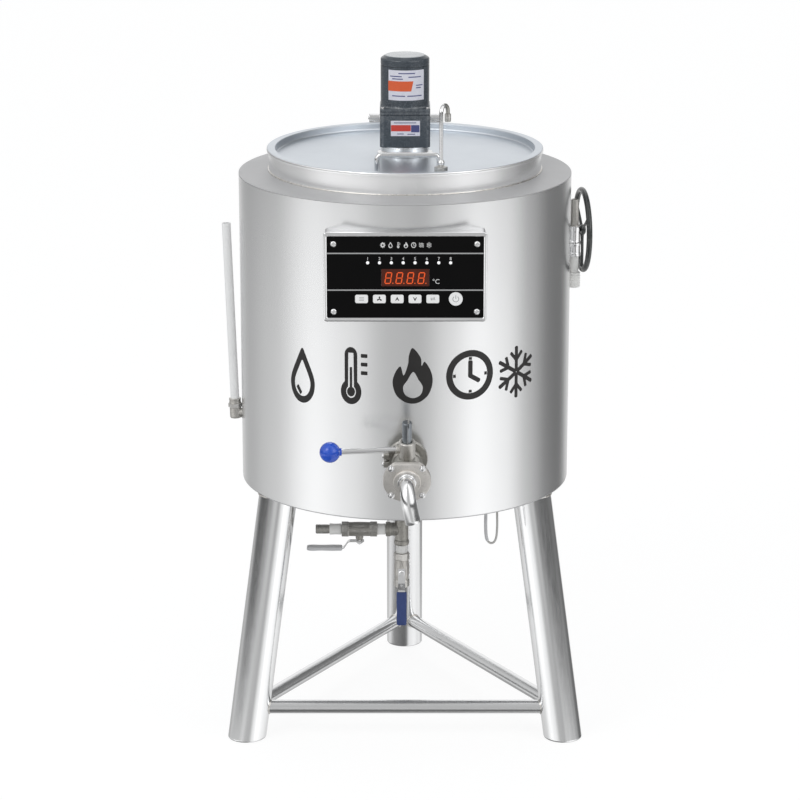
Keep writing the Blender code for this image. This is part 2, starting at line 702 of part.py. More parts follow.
def tank_shell():
    """The outer wall, its sloping shoulder and the flat bottom."""
    wall_foot = TANK_BOTTOM_Z + BOTTOM_SHEET + GAP
    wall_head = WALL_TOP_Z - SHOULDER_EDGE - GAP
    mesh = ring("outer_shell", TANK_RADIUS, TANK_RADIUS - SHELL_SHEET, wall_foot, wall_head, SHELL_FACETS)
    shell = piece("outer_shell", mesh, "brushed_steel", MACHINE)
    slot = block(
        "cable_slot",
        (-CABLE_SLOT_WIDTH / 2, -TANK_RADIUS - OVERRUN, PANEL_Z - CABLE_SLOT_HEIGHT / 2),
        (CABLE_SLOT_WIDTH / 2, -JACKET_RADIUS, PANEL_Z + CABLE_SLOT_HEIGHT / 2),
    )
    cut(shell, helper("cable_slot", slot, MACHINE))
    cut(shell, *shell_holes("shell", GAP, ("outlet", "level", "inlet")))

    inner = POT_RADIUS + GAP
    profile = [
        (TANK_RADIUS, WALL_TOP_Z - SHOULDER_EDGE),
        (TANK_RADIUS, WALL_TOP_Z - SHOULDER_EDGE / 2),
        (TANK_RADIUS - SHOULDER_EDGE, WALL_TOP_Z),
        (inner, WALL_TOP_Z + SHOULDER_RISE),
        (inner, WALL_TOP_Z + SHOULDER_RISE - SHELL_SHEET),
        (TANK_RADIUS - SHELL_SHEET, WALL_TOP_Z - SHELL_SHEET),
    ]
    piece("shoulder_ring", turned("shoulder_ring", profile, SHELL_FACETS), "brushed_steel", MACHINE)

    mesh = solid_rod("bottom_plate", TANK_RADIUS, TANK_BOTTOM_Z, TANK_BOTTOM_Z + BOTTOM_SHEET, SHELL_FACETS)
    bottom = piece("bottom_plate", mesh, "brushed_steel", MACHINE)
    cut(bottom, *shell_holes("bottom", GAP, ("drain",)))
    for index, end in enumerate((LEAD_ROUTE[0], LEAD_ROUTE[-1])):
        name = f"lead_hole_{index}"
        low = TANK_BOTTOM_Z - OVERRUN
        high = TANK_BOTTOM_Z + BOTTOM_SHEET + OVERRUN
        mesh = solid_rod(name, LEAD_RADIUS + GAP, low, high, ROD_FACETS)
        cut(bottom, helper(name, mesh, MACHINE, (end[0], end[1], 0)))


def pot():
    """The milk pot: a straight wall and a floor that falls towards the outlet."""
    inner = POT_RADIUS - POT_SHEET
    outer_corner = POT_CORNER + POT_SHEET
    underside = POT_FLOOR_Z - POT_SHEET
    flat = inner - POT_CORNER
    profile = [(0, underside)]
    for radius, sign in ((outer_corner, 1), (POT_CORNER, -1)):
        bend = []
        for step in range(POT_CORNER_STEPS + 1):
            angle = math.pi / 2 * step / POT_CORNER_STEPS
            bend.append((flat + radius * math.sin(angle), POT_FLOOR_Z + POT_CORNER - radius * math.cos(angle)))
        if sign > 0:
            profile += bend + [(POT_RADIUS, POT_TOP_Z), (inner, POT_TOP_Z)]
        else:
            profile += bend[::-1]
    profile.append((0, POT_FLOOR_Z))
    mesh = turned("inner_pot", profile, SHELL_FACETS)
    for vertex in mesh.vertices:
        if vertex.co.z < POT_TOP_Z - OVERRUN:
            vertex.co.z += POT_FLOOR_SLOPE * vertex.co.y
    made = piece("inner_pot", mesh, "lid_steel", MACHINE)
    cut(made, *shell_holes("pot", GAP, ("outlet", "probe")))


def jacket():
    """The water jacket, the wool round it, the heating element and the probe."""
    inner = JACKET_RADIUS - JACKET_SHEET
    neck = POT_RADIUS + GAP
    profile = [
        (0, JACKET_FLOOR_Z),
        (JACKET_RADIUS, JACKET_FLOOR_Z),
        (JACKET_RADIUS, JACKET_TOP_Z),
        (neck, JACKET_TOP_Z),
        (neck, JACKET_TOP_Z - JACKET_SHEET),
        (inner, JACKET_TOP_Z - JACKET_SHEET),
        (inner, JACKET_FLOOR_Z + JACKET_SHEET),
        (0, JACKET_FLOOR_Z + JACKET_SHEET),
    ]
    shell = piece("jacket_shell", turned("jacket_shell", profile, SHELL_FACETS), "brushed_steel", MACHINE)
    cut(shell, *shell_holes("jacket", GAP, ("outlet", "level", "inlet", "probe", "drain", "heater")))

    outside = TANK_RADIUS - SHELL_SHEET - GAP
    inside = JACKET_RADIUS + GAP
    profile = [
        (0, TANK_BOTTOM_Z + BOTTOM_SHEET + GAP),
        (outside, TANK_BOTTOM_Z + BOTTOM_SHEET + GAP),
        (outside, INSULATION_TOP_Z),
        (neck, INSULATION_TOP_Z),
        (neck, JACKET_TOP_Z + GAP),
        (inside, JACKET_TOP_Z + GAP),
        (inside, JACKET_FLOOR_Z - GAP),
        (0, JACKET_FLOOR_Z - GAP),
    ]
    wool = piece("insulation", turned("insulation", profile, SHELL_FACETS), "mineral_wool", MACHINE)
    cut(wool, *shell_holes("wool", GAP, ("outlet", "level", "inlet", "drain", "heater")))
    name = "wool_probe_hole"
    start = JACKET_RADIUS - PROBE_NUT_LENGTH
    hole = solid_rod(name, PROBE_NUT_RADIUS + GAP, start, PROBE_HEAD_RADIUS + GAP, FITTING_FACETS)
    cut(wool, helper(name, hole, MACHINE, (0, 0, PROBE_Z), (0, math.pi / 2, PROBE_ANGLE)))

    heater()
    nut = JACKET_RADIUS + GAP
    profile = [
        (0, PROBE_TIP_RADIUS),
        (PROBE_ROD, PROBE_TIP_RADIUS),
        (PROBE_ROD, nut),
        (PROBE_NUT_RADIUS, nut),
        (PROBE_NUT_RADIUS, nut + PROBE_NUT_LENGTH),
        (PROBE_ROD, nut + PROBE_NUT_LENGTH),
        (PROBE_ROD, PROBE_HEAD_RADIUS),
        (0, PROBE_HEAD_RADIUS),
    ]
    mesh = turned("temperature_probe", profile, ROD_FACETS)
    turn = (0, math.pi / 2, PROBE_ANGLE)
    piece("temperature_probe", mesh, "polished_steel", MACHINE, (0, 0, PROBE_Z), turn)


def heater():
    """A round heating rod whose two ends turn down through the jacket's floor."""
    start = math.pi / 2 + HEATER_OPEN_ANGLE / 2
    sweep = math.tau - HEATER_OPEN_ANGLE
    bend_angle = HEATER_BEND / HEATER_RADIUS
    path = []
    for side in (0, 1):
        angle = start + side * sweep
        along = Vector((-math.sin(angle), math.cos(angle), 0)) * (1 - 2 * side)
        foot = Vector((HEATER_RADIUS * math.cos(angle), HEATER_RADIUS * math.sin(angle), 0))
        centre = foot + along * HEATER_BEND + Vector((0, 0, HEATER_Z - HEATER_BEND))
        bend = arc(centre, -along, (0, 0, 1), HEATER_BEND, math.pi / 2, BEND_STEPS)
        leg = [foot + Vector((0, 0, HEATER_END_Z))] + bend[:-1]
        path.append(leg if side == 0 else leg[::-1])
    round_run = []
    for step in range(HEATER_STEPS + 1):
        angle = start + bend_angle + (sweep - 2 * bend_angle) * step / HEATER_STEPS
        round_run.append(Vector((HEATER_RADIUS * math.cos(angle), HEATER_RADIUS * math.sin(angle), HEATER_Z)))
    mesh = swept("heating_element", path[0] + round_run + path[1], HEATER_ROD, ROD_FACETS)
    piece("heating_element", mesh, "polished_steel", MACHINE)


def leg_ring(outward, radius, level, facets):
    """Level section through a leaning leg: an ellipse, longer towards the tank's axis."""
    fall = (LEG_FOOT_CIRCLE - LEG_TOP_CIRCLE) / TANK_BOTTOM_Z
    centre = outward * (LEG_FOOT_CIRCLE - fall * level) + Vector((0, 0, level))
    sideways = Vector((-outward.y, outward.x, 0))
    points = []
    for step in range(facets):
        angle = math.tau * step / facets
        along = radius / math.cos(LEG_LEAN) * math.cos(angle)
        points.append(centre + along * outward + radius * math.sin(angle) * sideways)
    return points


def stand():
    """Three splayed tube legs and the three bars that tie their feet."""
    cutters = {}
    middles = {}
    for name, degrees in LEG_ANGLES.items():
        angle = math.radians(degrees)
        outward = Vector((math.cos(angle), math.sin(angle), 0))
        head = TANK_BOTTOM_Z - GAP
        inner = LEG_RADIUS - LEG_WALL
        rings = [
            leg_ring(outward, LEG_RADIUS - LEG_EDGE, 0, LEG_FACETS),
            leg_ring(outward, LEG_RADIUS, LEG_EDGE, LEG_FACETS),
            leg_ring(outward, LEG_RADIUS, head, LEG_FACETS),
            leg_ring(outward, inner, head, LEG_FACETS),
            leg_ring(outward, inner, LEG_EDGE + LEG_FLOOR, LEG_FACETS),
        ]
        piece(name, lofted(name, rings), "brushed_steel", MACHINE)
        wide = (LEG_RADIUS + GAP) / math.cos(math.pi / LEG_FACETS)
        rings = [leg_ring(outward, wide, level, LEG_FACETS) for level in (0, head)]
        cutter_name = name + "_seat"
        cutters[name] = helper(cutter_name, lofted(cutter_name, rings), MACHINE)
        fall = math.tan(LEG_LEAN) * TIE_BAR_Z
        middles[name] = outward * (LEG_FOOT_CIRCLE - fall) + Vector((0, 0, TIE_BAR_Z))
    for name, (first, second) in TIE_BARS.items():
        mesh = swept(name, [middles[first], middles[second]], TIE_BAR_RADIUS, FITTING_FACETS)
        bar = piece(name, mesh, "brushed_steel", MACHINE)
        cut(bar, cutters[first], cutters[second])


def panel_slab(name, width, height, corner, front, back):
    """An upright slab between two distances in front of the tank's axis."""
    outline = rounded_outline(width, height, corner, PANEL_CORNER_STEPS)
    return slab(name, outline, back, front)


def control_box():
    """The housing on the wall, with its ledge, bezel, face, board and keys."""
    middle = (0, 0, PANEL_Z)
    front = HOUSING_FRONT
    back = front - HOUSING_DEPTH
    mesh = panel_slab("control_housing", HOUSING_WIDTH, HOUSING_HEIGHT, HOUSING_CORNER, front, back)
    housing = piece("control_housing", mesh, "brushed_steel", MACHINE, middle, FORWARD)
    inner_width = HOUSING_WIDTH - 2 * HOUSING_SHEET
    inner_height = HOUSING_HEIGHT - 2 * HOUSING_SHEET
    corner = HOUSING_CORNER - HOUSING_SHEET
    hollow = panel_slab("housing_hollow", inner_width, inner_height, corner, front - LEDGE_THICKNESS, back - OVERRUN)
    mouth = panel_slab(
        "housing_mouth",
        inner_width - 2 * LEDGE_WIDTH,
        inner_height - 2 * LEDGE_WIDTH,
        corner,
        front + OVERRUN,
        back,
    )
    cut(housing, helper("housing_hollow", hollow, MACHINE, middle, FORWARD))
    cut(housing, helper("housing_mouth", mouth, MACHINE, middle, FORWARD))
    low = PANEL_Z - HOUSING_HEIGHT
    high = PANEL_Z + HOUSING_HEIGHT
    wall = solid_rod("housing_seat", TANK_RADIUS + GAP, low, high, SHELL_FACETS)
    cut(housing, helper("housing_seat", wall, MACHINE))

    rim_back = front + GAP
    mesh = panel_slab("panel_bezel", BEZEL_WIDTH, BEZEL_HEIGHT, BEZEL_CORNER, rim_back + BEZEL_THICKNESS, rim_back)
    bezel = piece("panel_bezel", mesh, "brushed_steel", MACHINE, middle, FORWARD)
    window = panel_slab(
        "bezel_window",
        FACE_WIDTH + 2 * GAP,
        FACE_HEIGHT + 2 * GAP,
        FACE_CORNER,
        rim_back + BEZEL_THICKNESS + OVERRUN,
        rim_back - OVERRUN,
    )
    cut(bezel, helper("bezel_window", window, MACHINE, middle, FORWARD))

    face_front = rim_back + FACE_THICKNESS
    mesh = panel_slab("face_panel", FACE_WIDTH, FACE_HEIGHT, FACE_CORNER, face_front, rim_back)
    face = piece("face_panel", mesh, "black_panel", MACHINE, middle, FORWARD)
    opening = panel_slab(
        "display_window",
        DISPLAY_WIDTH + 2 * GAP,
        DISPLAY_HEIGHT + 2 * GAP,
        GAP,
        face_front + OVERRUN,
        rim_back - OVERRUN,
    )
    cut(face, helper("display_window", opening, MACHINE, (0, 0, PANEL_Z + DISPLAY_Z), FORWARD))

    board_front = front - LEDGE_THICKNESS - GAP
    mesh = panel_slab(
        "display_board", BOARD_WIDTH, BOARD_HEIGHT, BOARD_CORNER, board_front, board_front - BOARD_THICKNESS
    )
    board = piece("display_board", mesh, "display_glass", MACHINE, middle, FORWARD)
    display = panel_slab(
        "display_block",
        DISPLAY_WIDTH,
        DISPLAY_HEIGHT,
        GAP,
        face_front - DISPLAY_RECESS,
        board_front - BOARD_THICKNESS / 2,
    )
    weld(board, helper("display_block", display, MACHINE, (0, 0, PANEL_Z + DISPLAY_Z), FORWARD))
    keys(face, face_front, rim_back)


def keys(face, face_front, face_back):
    """Push keys: a cap through the face and a flange behind it, on an axis of its own each."""
    shapes = {name: (FIRST_KEY_X + KEY_PITCH * order, False) for order, name in enumerate(KEY_NAMES)}
    shapes["key_start"] = (ROUND_KEY_X, True)
    cap_front = face_front + KEY_PROUD
    flange_front = face_back - GAP
    flange_back = flange_front - KEY_FLANGE_THICKNESS
    for name, (x, is_round) in shapes.items():

        def outline(grow):
            if is_round:
                return [(p.x, p.y) for p in circle(ROUND_KEY_RADIUS + grow, FITTING_FACETS)]
            width = KEY_WIDTH + 2 * grow
            height = KEY_HEIGHT + 2 * grow
            return rounded_outline(width, height, KEY_CORNER + grow, PANEL_CORNER_STEPS)

        axis = empty(name + "_axis", MACHINE, (x, 0, PANEL_Z + KEY_Z), FORWARD)
        levels = [(KEY_FLANGE, flange_back), (KEY_FLANGE, flange_front), (0, flange_front), (0, cap_front)]
        rings = [[Vector((px, py, level)) for px, py in outline(grow)] for grow, level in levels]
        piece(name, lofted(name, rings), "key_plastic", axis)
        hole = slab(name + "_hole", outline(GAP), face_back - OVERRUN, face_front + OVERRUN)
        cut(face, helper(name + "_hole", hole, axis))


def lid():
    """The dished lid, its gasket, handle and vent, all on the hinge's axis."""
    pan = LID_TOP_Z - LID_PAN_DEPTH
    outer_pan = LID_PAN_RADIUS + LID_SHEET
    lip = LID_RIM_RADIUS - LID_SHEET
    profile = [
        (LID_SHAFT_HOLE, pan),
        (LID_PAN_RADIUS - LID_FILLET, pan),
        (LID_PAN_RADIUS, pan + LID_FILLET),
        (LID_PAN_RADIUS, LID_TOP_Z),
        (lip, LID_TOP_Z),
        (LID_RIM_RADIUS, LID_TOP_Z - LID_SHEET),
        (LID_RIM_RADIUS, LID_TOP_Z - LID_LIP_DROP),
        (lip, LID_TOP_Z - LID_LIP_DROP),
        (lip, LID_TOP_Z - LID_SHEET),
        (outer_pan, LID_TOP_Z - LID_SHEET),
        (outer_pan, pan),
        (outer_pan - LID_FILLET, pan - LID_SHEET),
        (LID_SHAFT_HOLE, pan - LID_SHEET),
    ]
    made = piece("lid", turned("lid", profile, SHELL_FACETS), "lid_steel", HINGE_AXIS, ON_LID)
    vent_hole = solid_rod("vent_hole", VENT_BORE, pan - LID_SHEET - OVERRUN, pan + OVERRUN, ROD_FACETS)
    cut(made, helper("vent_hole", vent_hole, HINGE_AXIS, ON_LID + Vector((VENT_X, VENT_Y, 0))))

    seat = LID_TOP_Z - LID_SHEET - GAP
    mesh = ring("lid_gasket", POT_RADIUS, POT_RADIUS - GASKET_WIDTH, POT_TOP_Z + GAP, seat, SHELL_FACETS)
    piece("lid_gasket", mesh, "gasket_rubber", HINGE_AXIS, ON_LID)

    foot = pan + GAP
    left = Vector((HANDLE_X - HANDLE_HALF_SPAN, HANDLE_Y, foot))
    right = Vector((HANDLE_X + HANDLE_HALF_SPAN, HANDLE_Y, foot))
    bend_level = pan + HANDLE_RISE - HANDLE_BEND
    left_bend = (left.x + HANDLE_BEND, HANDLE_Y, bend_level)
    right_bend = (right.x - HANDLE_BEND, HANDLE_Y, bend_level)
    path = [left]
    path += arc(left_bend, (-1, 0, 0), (0, 0, 1), HANDLE_BEND, math.pi / 2, BEND_STEPS)
    path += arc(right_bend, (0, 0, 1), (1, 0, 0), HANDLE_BEND, math.pi / 2, BEND_STEPS)
    path.append(right)
    mesh = swept("lid_handle", path, HANDLE_ROD, ROD_FACETS)
    piece("lid_handle", mesh, "polished_steel", HINGE_AXIS, ON_LID)
    vent(foot)


def vent(foot):
    """The vent's base with its nut, and the crooked tube on it."""
    nut_bottom = foot + VENT_BASE_HEIGHT
    nut_top = nut_bottom + VENT_NUT_HEIGHT
    place = ON_LID + Vector((VENT_X, VENT_Y, 0))
    mesh = ring("vent_base", VENT_BASE_RADIUS, VENT_BORE, foot, nut_bottom + OVERRUN, FITTING_FACETS)
    base = piece("vent_base", mesh, "cast_steel", HINGE_AXIS, place)
    nut = ring("vent_nut", VENT_NUT_RADIUS, VENT_BORE, nut_bottom, nut_top, 6)
    weld(base, helper("vent_nut", nut, HINGE_AXIS, place))

    start = nut_top + GAP
    bend_z = start + VENT_RISE - VENT_CROOK_RADIUS - VENT_TUBE_RADIUS
    away = Vector((math.cos(VENT_CROOK_TURN), math.sin(VENT_CROOK_TURN), 0))
    centre = away * VENT_CROOK_RADIUS + Vector((0, 0, bend_z))
    crook = arc(centre, -away, (0, 0, 1), VENT_CROOK_RADIUS, math.pi, VENT_CROOK_STEPS)
    ball = []
    ball_rings = 4
    for step in range(ball_rings + 1):
        angle = math.pi * step / ball_rings
        swell = max(VENT_BALL_RADIUS * math.sin(angle), VENT_TUBE_RADIUS)
        ball.append((start + VENT_BALL_RADIUS * (1 - math.cos(angle)), swell))
    path = [Vector((0, 0, level)) for level, _ in ball] + crook
    radii = [radius for _, radius in ball] + [VENT_TUBE_RADIUS] * len(crook)
    tail = crook[-1]
    sleeve = tail - Vector((0, 0, VENT_TUBE_RADIUS))
    path += [sleeve, sleeve - Vector((0, 0, GAP)), tail - Vector((0, 0, VENT_TAIL))]
    radii += [VENT_TUBE_RADIUS, VENT_TAIL_SLEEVE, VENT_TAIL_SLEEVE]
    outer = swept_rings(path, radii, ROD_FACETS)
    inner = swept_rings(path, [VENT_BORE] * len(path), ROD_FACETS)
    mesh = lofted("vent_tube", outer + inner[::-1], closed=True)
    piece("vent_tube", mesh, "polished_steel", HINGE_AXIS, place)


def hinge():
    """The bracket on the neck, the pin, and the lid's leaf with its barrel."""
    arm_length = HINGE_HALF_WIDTH - HINGE_LEAF_HALF_WIDTH - RUNNING_GAP
    plate = block(
        "hinge_bracket",
        (-HINGE_HALF_WIDTH, HINGE_PLATE_FRONT_Y - HINGE_Y, HINGE_PLATE_BOTTOM_Z - HINGE_Z),
        (HINGE_HALF_WIDTH, HINGE_PLATE_BACK_Y - HINGE_Y, HINGE_PLATE_TOP_Z - HINGE_Z),
    )
    bracket = piece("hinge_bracket", plate, "polished_steel", MACHINE, (0, HINGE_Y, HINGE_Z))
    neck = solid_rod("bracket_seat", POT_RADIUS + GAP, WALL_TOP_Z, LID_TOP_Z, SHELL_FACETS)
    bores = []
    for index, side in enumerate((-1, 1)):
        inner = side * (HINGE_HALF_WIDTH - arm_length)
        outer = side * HINGE_HALF_WIDTH
        arm = block(
            f"hinge_arm_{index}",
            (min(inner, outer), HINGE_ARM_FRONT_Y - HINGE_Y, HINGE_PLATE_TOP_Z - HINGE_Z - OVERRUN),
            (max(inner, outer), HINGE_BARREL_RADIUS / 2, 0),
        )
        weld(bracket, helper(arm.name, arm, MACHINE, (0, HINGE_Y, HINGE_Z)))
        name = f"hinge_knuckle_{index}"
        knuckle = solid_rod(name, HINGE_BARREL_RADIUS, min(inner, outer), max(inner, outer), FITTING_FACETS)
        weld(bracket, helper(name, knuckle, MACHINE, (0, HINGE_Y, HINGE_Z), RIGHTWARD))
    reach = HINGE_HALF_WIDTH + OVERRUN
    bore = solid_rod("bracket_bore", HINGE_PIN_RADIUS + GAP, -reach, reach, FITTING_FACETS)
    bores.append(helper("bracket_bore", bore, MACHINE, (0, HINGE_Y, HINGE_Z), RIGHTWARD))
    cut(bracket, helper("bracket_seat", neck, MACHINE), *bores)

    reach = HINGE_HALF_WIDTH + HINGE_PIN_PROUD
    pin = solid_rod("hinge_pin", HINGE_PIN_RADIUS, -reach, reach, FITTING_FACETS)
    piece("hinge_pin", pin, "polished_steel", MACHINE, (0, HINGE_Y, HINGE_Z), RIGHTWARD)

    half = HINGE_LEAF_HALF_WIDTH
    barrel = solid_rod("hinge_leaf", HINGE_BARREL_RADIUS, -half, half, FITTING_FACETS)
    leaf = piece("hinge_leaf", barrel, "polished_steel", HINGE_AXIS, turn=RIGHTWARD)
    plate = block(
        "leaf_plate",
        (-half, HINGE_LEAF_FRONT_Y - HINGE_Y, LID_TOP_Z + GAP - HINGE_Z),
        (half, 0, LID_TOP_Z + GAP + HINGE_LEAF_SHEET - HINGE_Z),
    )
    weld(leaf, helper("leaf_plate", plate, HINGE_AXIS))
    reach = half + OVERRUN
    bore_radius = (HINGE_PIN_RADIUS + GAP) / math.cos(math.pi / FITTING_FACETS)
    bore = solid_rod("leaf_bore", bore_radius, -reach, reach, FITTING_FACETS)
    cut(leaf, helper("leaf_bore", bore, HINGE_AXIS, turn=RIGHTWARD))


def stirrer_drive():
    """Pedestal, gearbox and motor, stacked on the middle of the lid."""
    foot = LID_TOP_Z - LID_PAN_DEPTH + GAP
    head = foot + PEDESTAL_HEIGHT
    bore = LID_SHAFT_HOLE
    profile = [
        (bore, foot),
        (PEDESTAL_FOOT_RADIUS, foot),
        (PEDESTAL_FOOT_RADIUS, foot + PEDESTAL_FLANGE),
        (PEDESTAL_NECK_RADIUS, foot + 2 * PEDESTAL_FLANGE),
        (PEDESTAL_NECK_RADIUS, head - PEDESTAL_FLANGE),
        (PEDESTAL_TOP_RADIUS, head - PEDESTAL_FLANGE),
        (PEDESTAL_TOP_RADIUS, head),
        (bore, head),
    ]
    mesh = turned("motor_pedestal", profile, MOTOR_FACETS)
    piece("motor_pedestal", mesh, "polished_steel", HINGE_AXIS, ON_LID)

    base = head + GAP
    top = base + GEARBOX_HEIGHT
    narrow = GEARBOX_WIDTH - 2 * GEARBOX_GROOVE
    levels = [
        (GEARBOX_WIDTH, base),
        (GEARBOX_WIDTH, top - GEARBOX_BAND - GEARBOX_GROOVE),
        (narrow, top - GEARBOX_BAND - GEARBOX_GROOVE),
        (narrow, top - GEARBOX_BAND),
        (GEARBOX_WIDTH, top - GEARBOX_BAND),
        (GEARBOX_WIDTH, top),
    ]
    rings = []
    for width, level in levels:
        outline = rounded_outline(width, width, GEARBOX_CORNER, GEARBOX_CORNER_STEPS)
        rings.append([Vector((x, y, level)) for x, y in outline])
    gearbox = piece("gearbox", lofted("gearbox", rings), "dark_paint", HINGE_AXIS, ON_LID)
    socket_radius = (SHAFT_RADIUS + GAP) / math.cos(math.pi / FITTING_FACETS)
    socket = solid_rod("shaft_socket", socket_radius, base - OVERRUN, base + GEARBOX_BORE_DEPTH, FITTING_FACETS)
    cut(gearbox, helper("shaft_socket", socket, HINGE_AXIS, ON_LID))
    motor(top + GAP)
    stirrer(base)


def motor(foot):
    """A round motor on a square flange, with a groove under its domed cap."""
    top = foot + MOTOR_HEIGHT
    groove = top - MOTOR_GROOVE_DROP
    shoulder = top - MOTOR_SHOULDER
    profile = [
        (0, foot),
        (MOTOR_RADIUS, foot),
        (MOTOR_RADIUS, groove),
        (MOTOR_RADIUS - MOTOR_GROOVE, groove),
        (MOTOR_RADIUS - MOTOR_GROOVE, groove + MOTOR_GROOVE),
        (MOTOR_RADIUS, groove + MOTOR_GROOVE),
        (MOTOR_RADIUS, shoulder),
        ((MOTOR_RADIUS + MOTOR_DOME_RADIUS) / 2, top - MOTOR_SHOULDER / 4),
        (MOTOR_DOME_RADIUS, top),
        (0, top),
    ]
    made = piece("motor", turned("motor", profile, MOTOR_FACETS), "dark_paint", HINGE_AXIS, ON_LID)
    outline = rounded_outline(GEARBOX_WIDTH, GEARBOX_WIDTH, GEARBOX_CORNER, GEARBOX_CORNER_STEPS)
    flange = slab("motor_flange", outline, foot, foot + MOTOR_FLANGE)
    weld(made, helper("motor_flange", flange, HINGE_AXIS, ON_LID))


def stirrer(gearbox_base):
    """The stirring shaft and its paddle, which turn together below the gearbox."""
    head = gearbox_base + GEARBOX_BORE_DEPTH - GAP
    mesh = solid_rod("stirrer_shaft", SHAFT_RADIUS, SHAFT_END_Z, head, FITTING_FACETS)
    piece("stirrer_shaft", mesh, "polished_steel", STIRRER_AXIS)

    hub_top = PADDLE_BOTTOM_Z + PADDLE_HUB_HEIGHT
    mesh = solid_rod("stirrer_paddle", PADDLE_HUB_RADIUS, PADDLE_BOTTOM_Z, hub_top, FITTING_FACETS)
    paddle = piece("stirrer_paddle", mesh, "polished_steel", STIRRER_AXIS)
    middle = (PADDLE_BOTTOM_Z + hub_top) / 2
    for index in range(PADDLE_BLADES):
        name = f"paddle_blade_{index}"
        half = PADDLE_BLADE_WIDTH / 2
        sheet = PADDLE_BLADE_SHEET / 2
        root = (SHAFT_RADIUS + PADDLE_HUB_RADIUS) / 2
        blade = block(name, (root, -half, -sheet), (PADDLE_TIP_RADIUS, half, sheet))
        turn = Matrix.Rotation(math.tau * index / PADDLE_BLADES, 4, "Z")
        tilt = Matrix.Rotation(PADDLE_PITCH, 4, "X")
        blade.transform(turn @ tilt)
        weld(paddle, helper(name, blade, STIRRER_AXIS, (0, 0, middle)))
    socket_radius = (SHAFT_RADIUS + GAP) / math.cos(math.pi / FITTING_FACETS)
    socket = solid_rod("paddle_socket", socket_radius, SHAFT_END_Z - GAP, hub_top + OVERRUN, FITTING_FACETS)
    cut(paddle, helper("paddle_socket", socket, STIRRER_AXIS))


def outlet_valve():
    """Outlet pipe, ball valve with its lever, front flange and curved spout."""
    rear = FLANGE_THICKNESS
    profile = [
        (OUTLET_PIPE_BORE, 0),
        (REAR_FLANGE_RADIUS, 0),
        (REAR_FLANGE_RADIUS, rear),
        (OUTLET_PIPE_RADIUS, rear),
        (OUTLET_PIPE_RADIUS, OUTLET_PIPE_REACH),
        (OUTLET_PIPE_BORE, OUTLET_PIPE_REACH),
    ]
    mesh = turned("outlet_pipe", profile, FITTING_FACETS)
    pipe = piece("outlet_pipe", mesh, "cast_steel", OUTLET, turn=BACKWARD)
    room = solid_rod("pot_room", POT_RADIUS - POT_SHEET, TANK_BOTTOM_Z, WALL_TOP_Z, SHELL_FACETS)
    cut(pipe, helper("pot_room", room, MACHINE))

    length = VALVE_BODY_LENGTH - 2 * GAP
    mesh = solid_rod("outlet_body", VALVE_BODY_RADIUS, GAP, GAP + length, FITTING_FACETS)
    body = piece("outlet_body", mesh, "cast_steel", OUTLET, turn=FORWARD)
    middle = (0, -VALVE_BODY_LENGTH / 2, 0)
    neck = solid_rod("outlet_neck", VALVE_NECK_RADIUS, 0, VALVE_NECK_TOP - GAP, FITTING_FACETS)
    weld(body, helper("outlet_neck", neck, OUTLET, middle))
    cavity = ball_mesh("outlet_cavity", VALVE_CAVITY_RADIUS, GRIP_RINGS)
    bore = solid_rod("outlet_bore", OUTLET_PIPE_BORE, -OVERRUN, VALVE_BODY_LENGTH + OVERRUN, FITTING_FACETS)
    hole_radius = (STEM_RADIUS + GAP) / math.cos(math.pi / FITTING_FACETS)
    stem_hole = solid_rod("stem_hole", hole_radius, 0, VALVE_NECK_TOP + OVERRUN, FITTING_FACETS)
    cut(body, helper("outlet_cavity", cavity, OUTLET, middle))
    cut(body, helper("outlet_bore", bore, OUTLET, turn=FORWARD))
    cut(body, helper("stem_hole", stem_hole, OUTLET, middle))

    outlet_lever(hole_radius)
    front_flange()
    spout()


def ball_mesh(name, radius, rings):
    """A ball whose facets stand half a step off those of the holes drilled through it."""
    profile = []
    for step in range(rings + 1):
        angle = math.pi * step / rings
        profile.append((radius * math.sin(angle), -radius * math.cos(angle)))
    profile[0] = (0, -radius)
    profile[-1] = (0, radius)
    mesh = turned(name, profile, FITTING_FACETS)
    mesh.transform(Matrix.Rotation(math.pi / FITTING_FACETS, 4, "Z"))
    return mesh


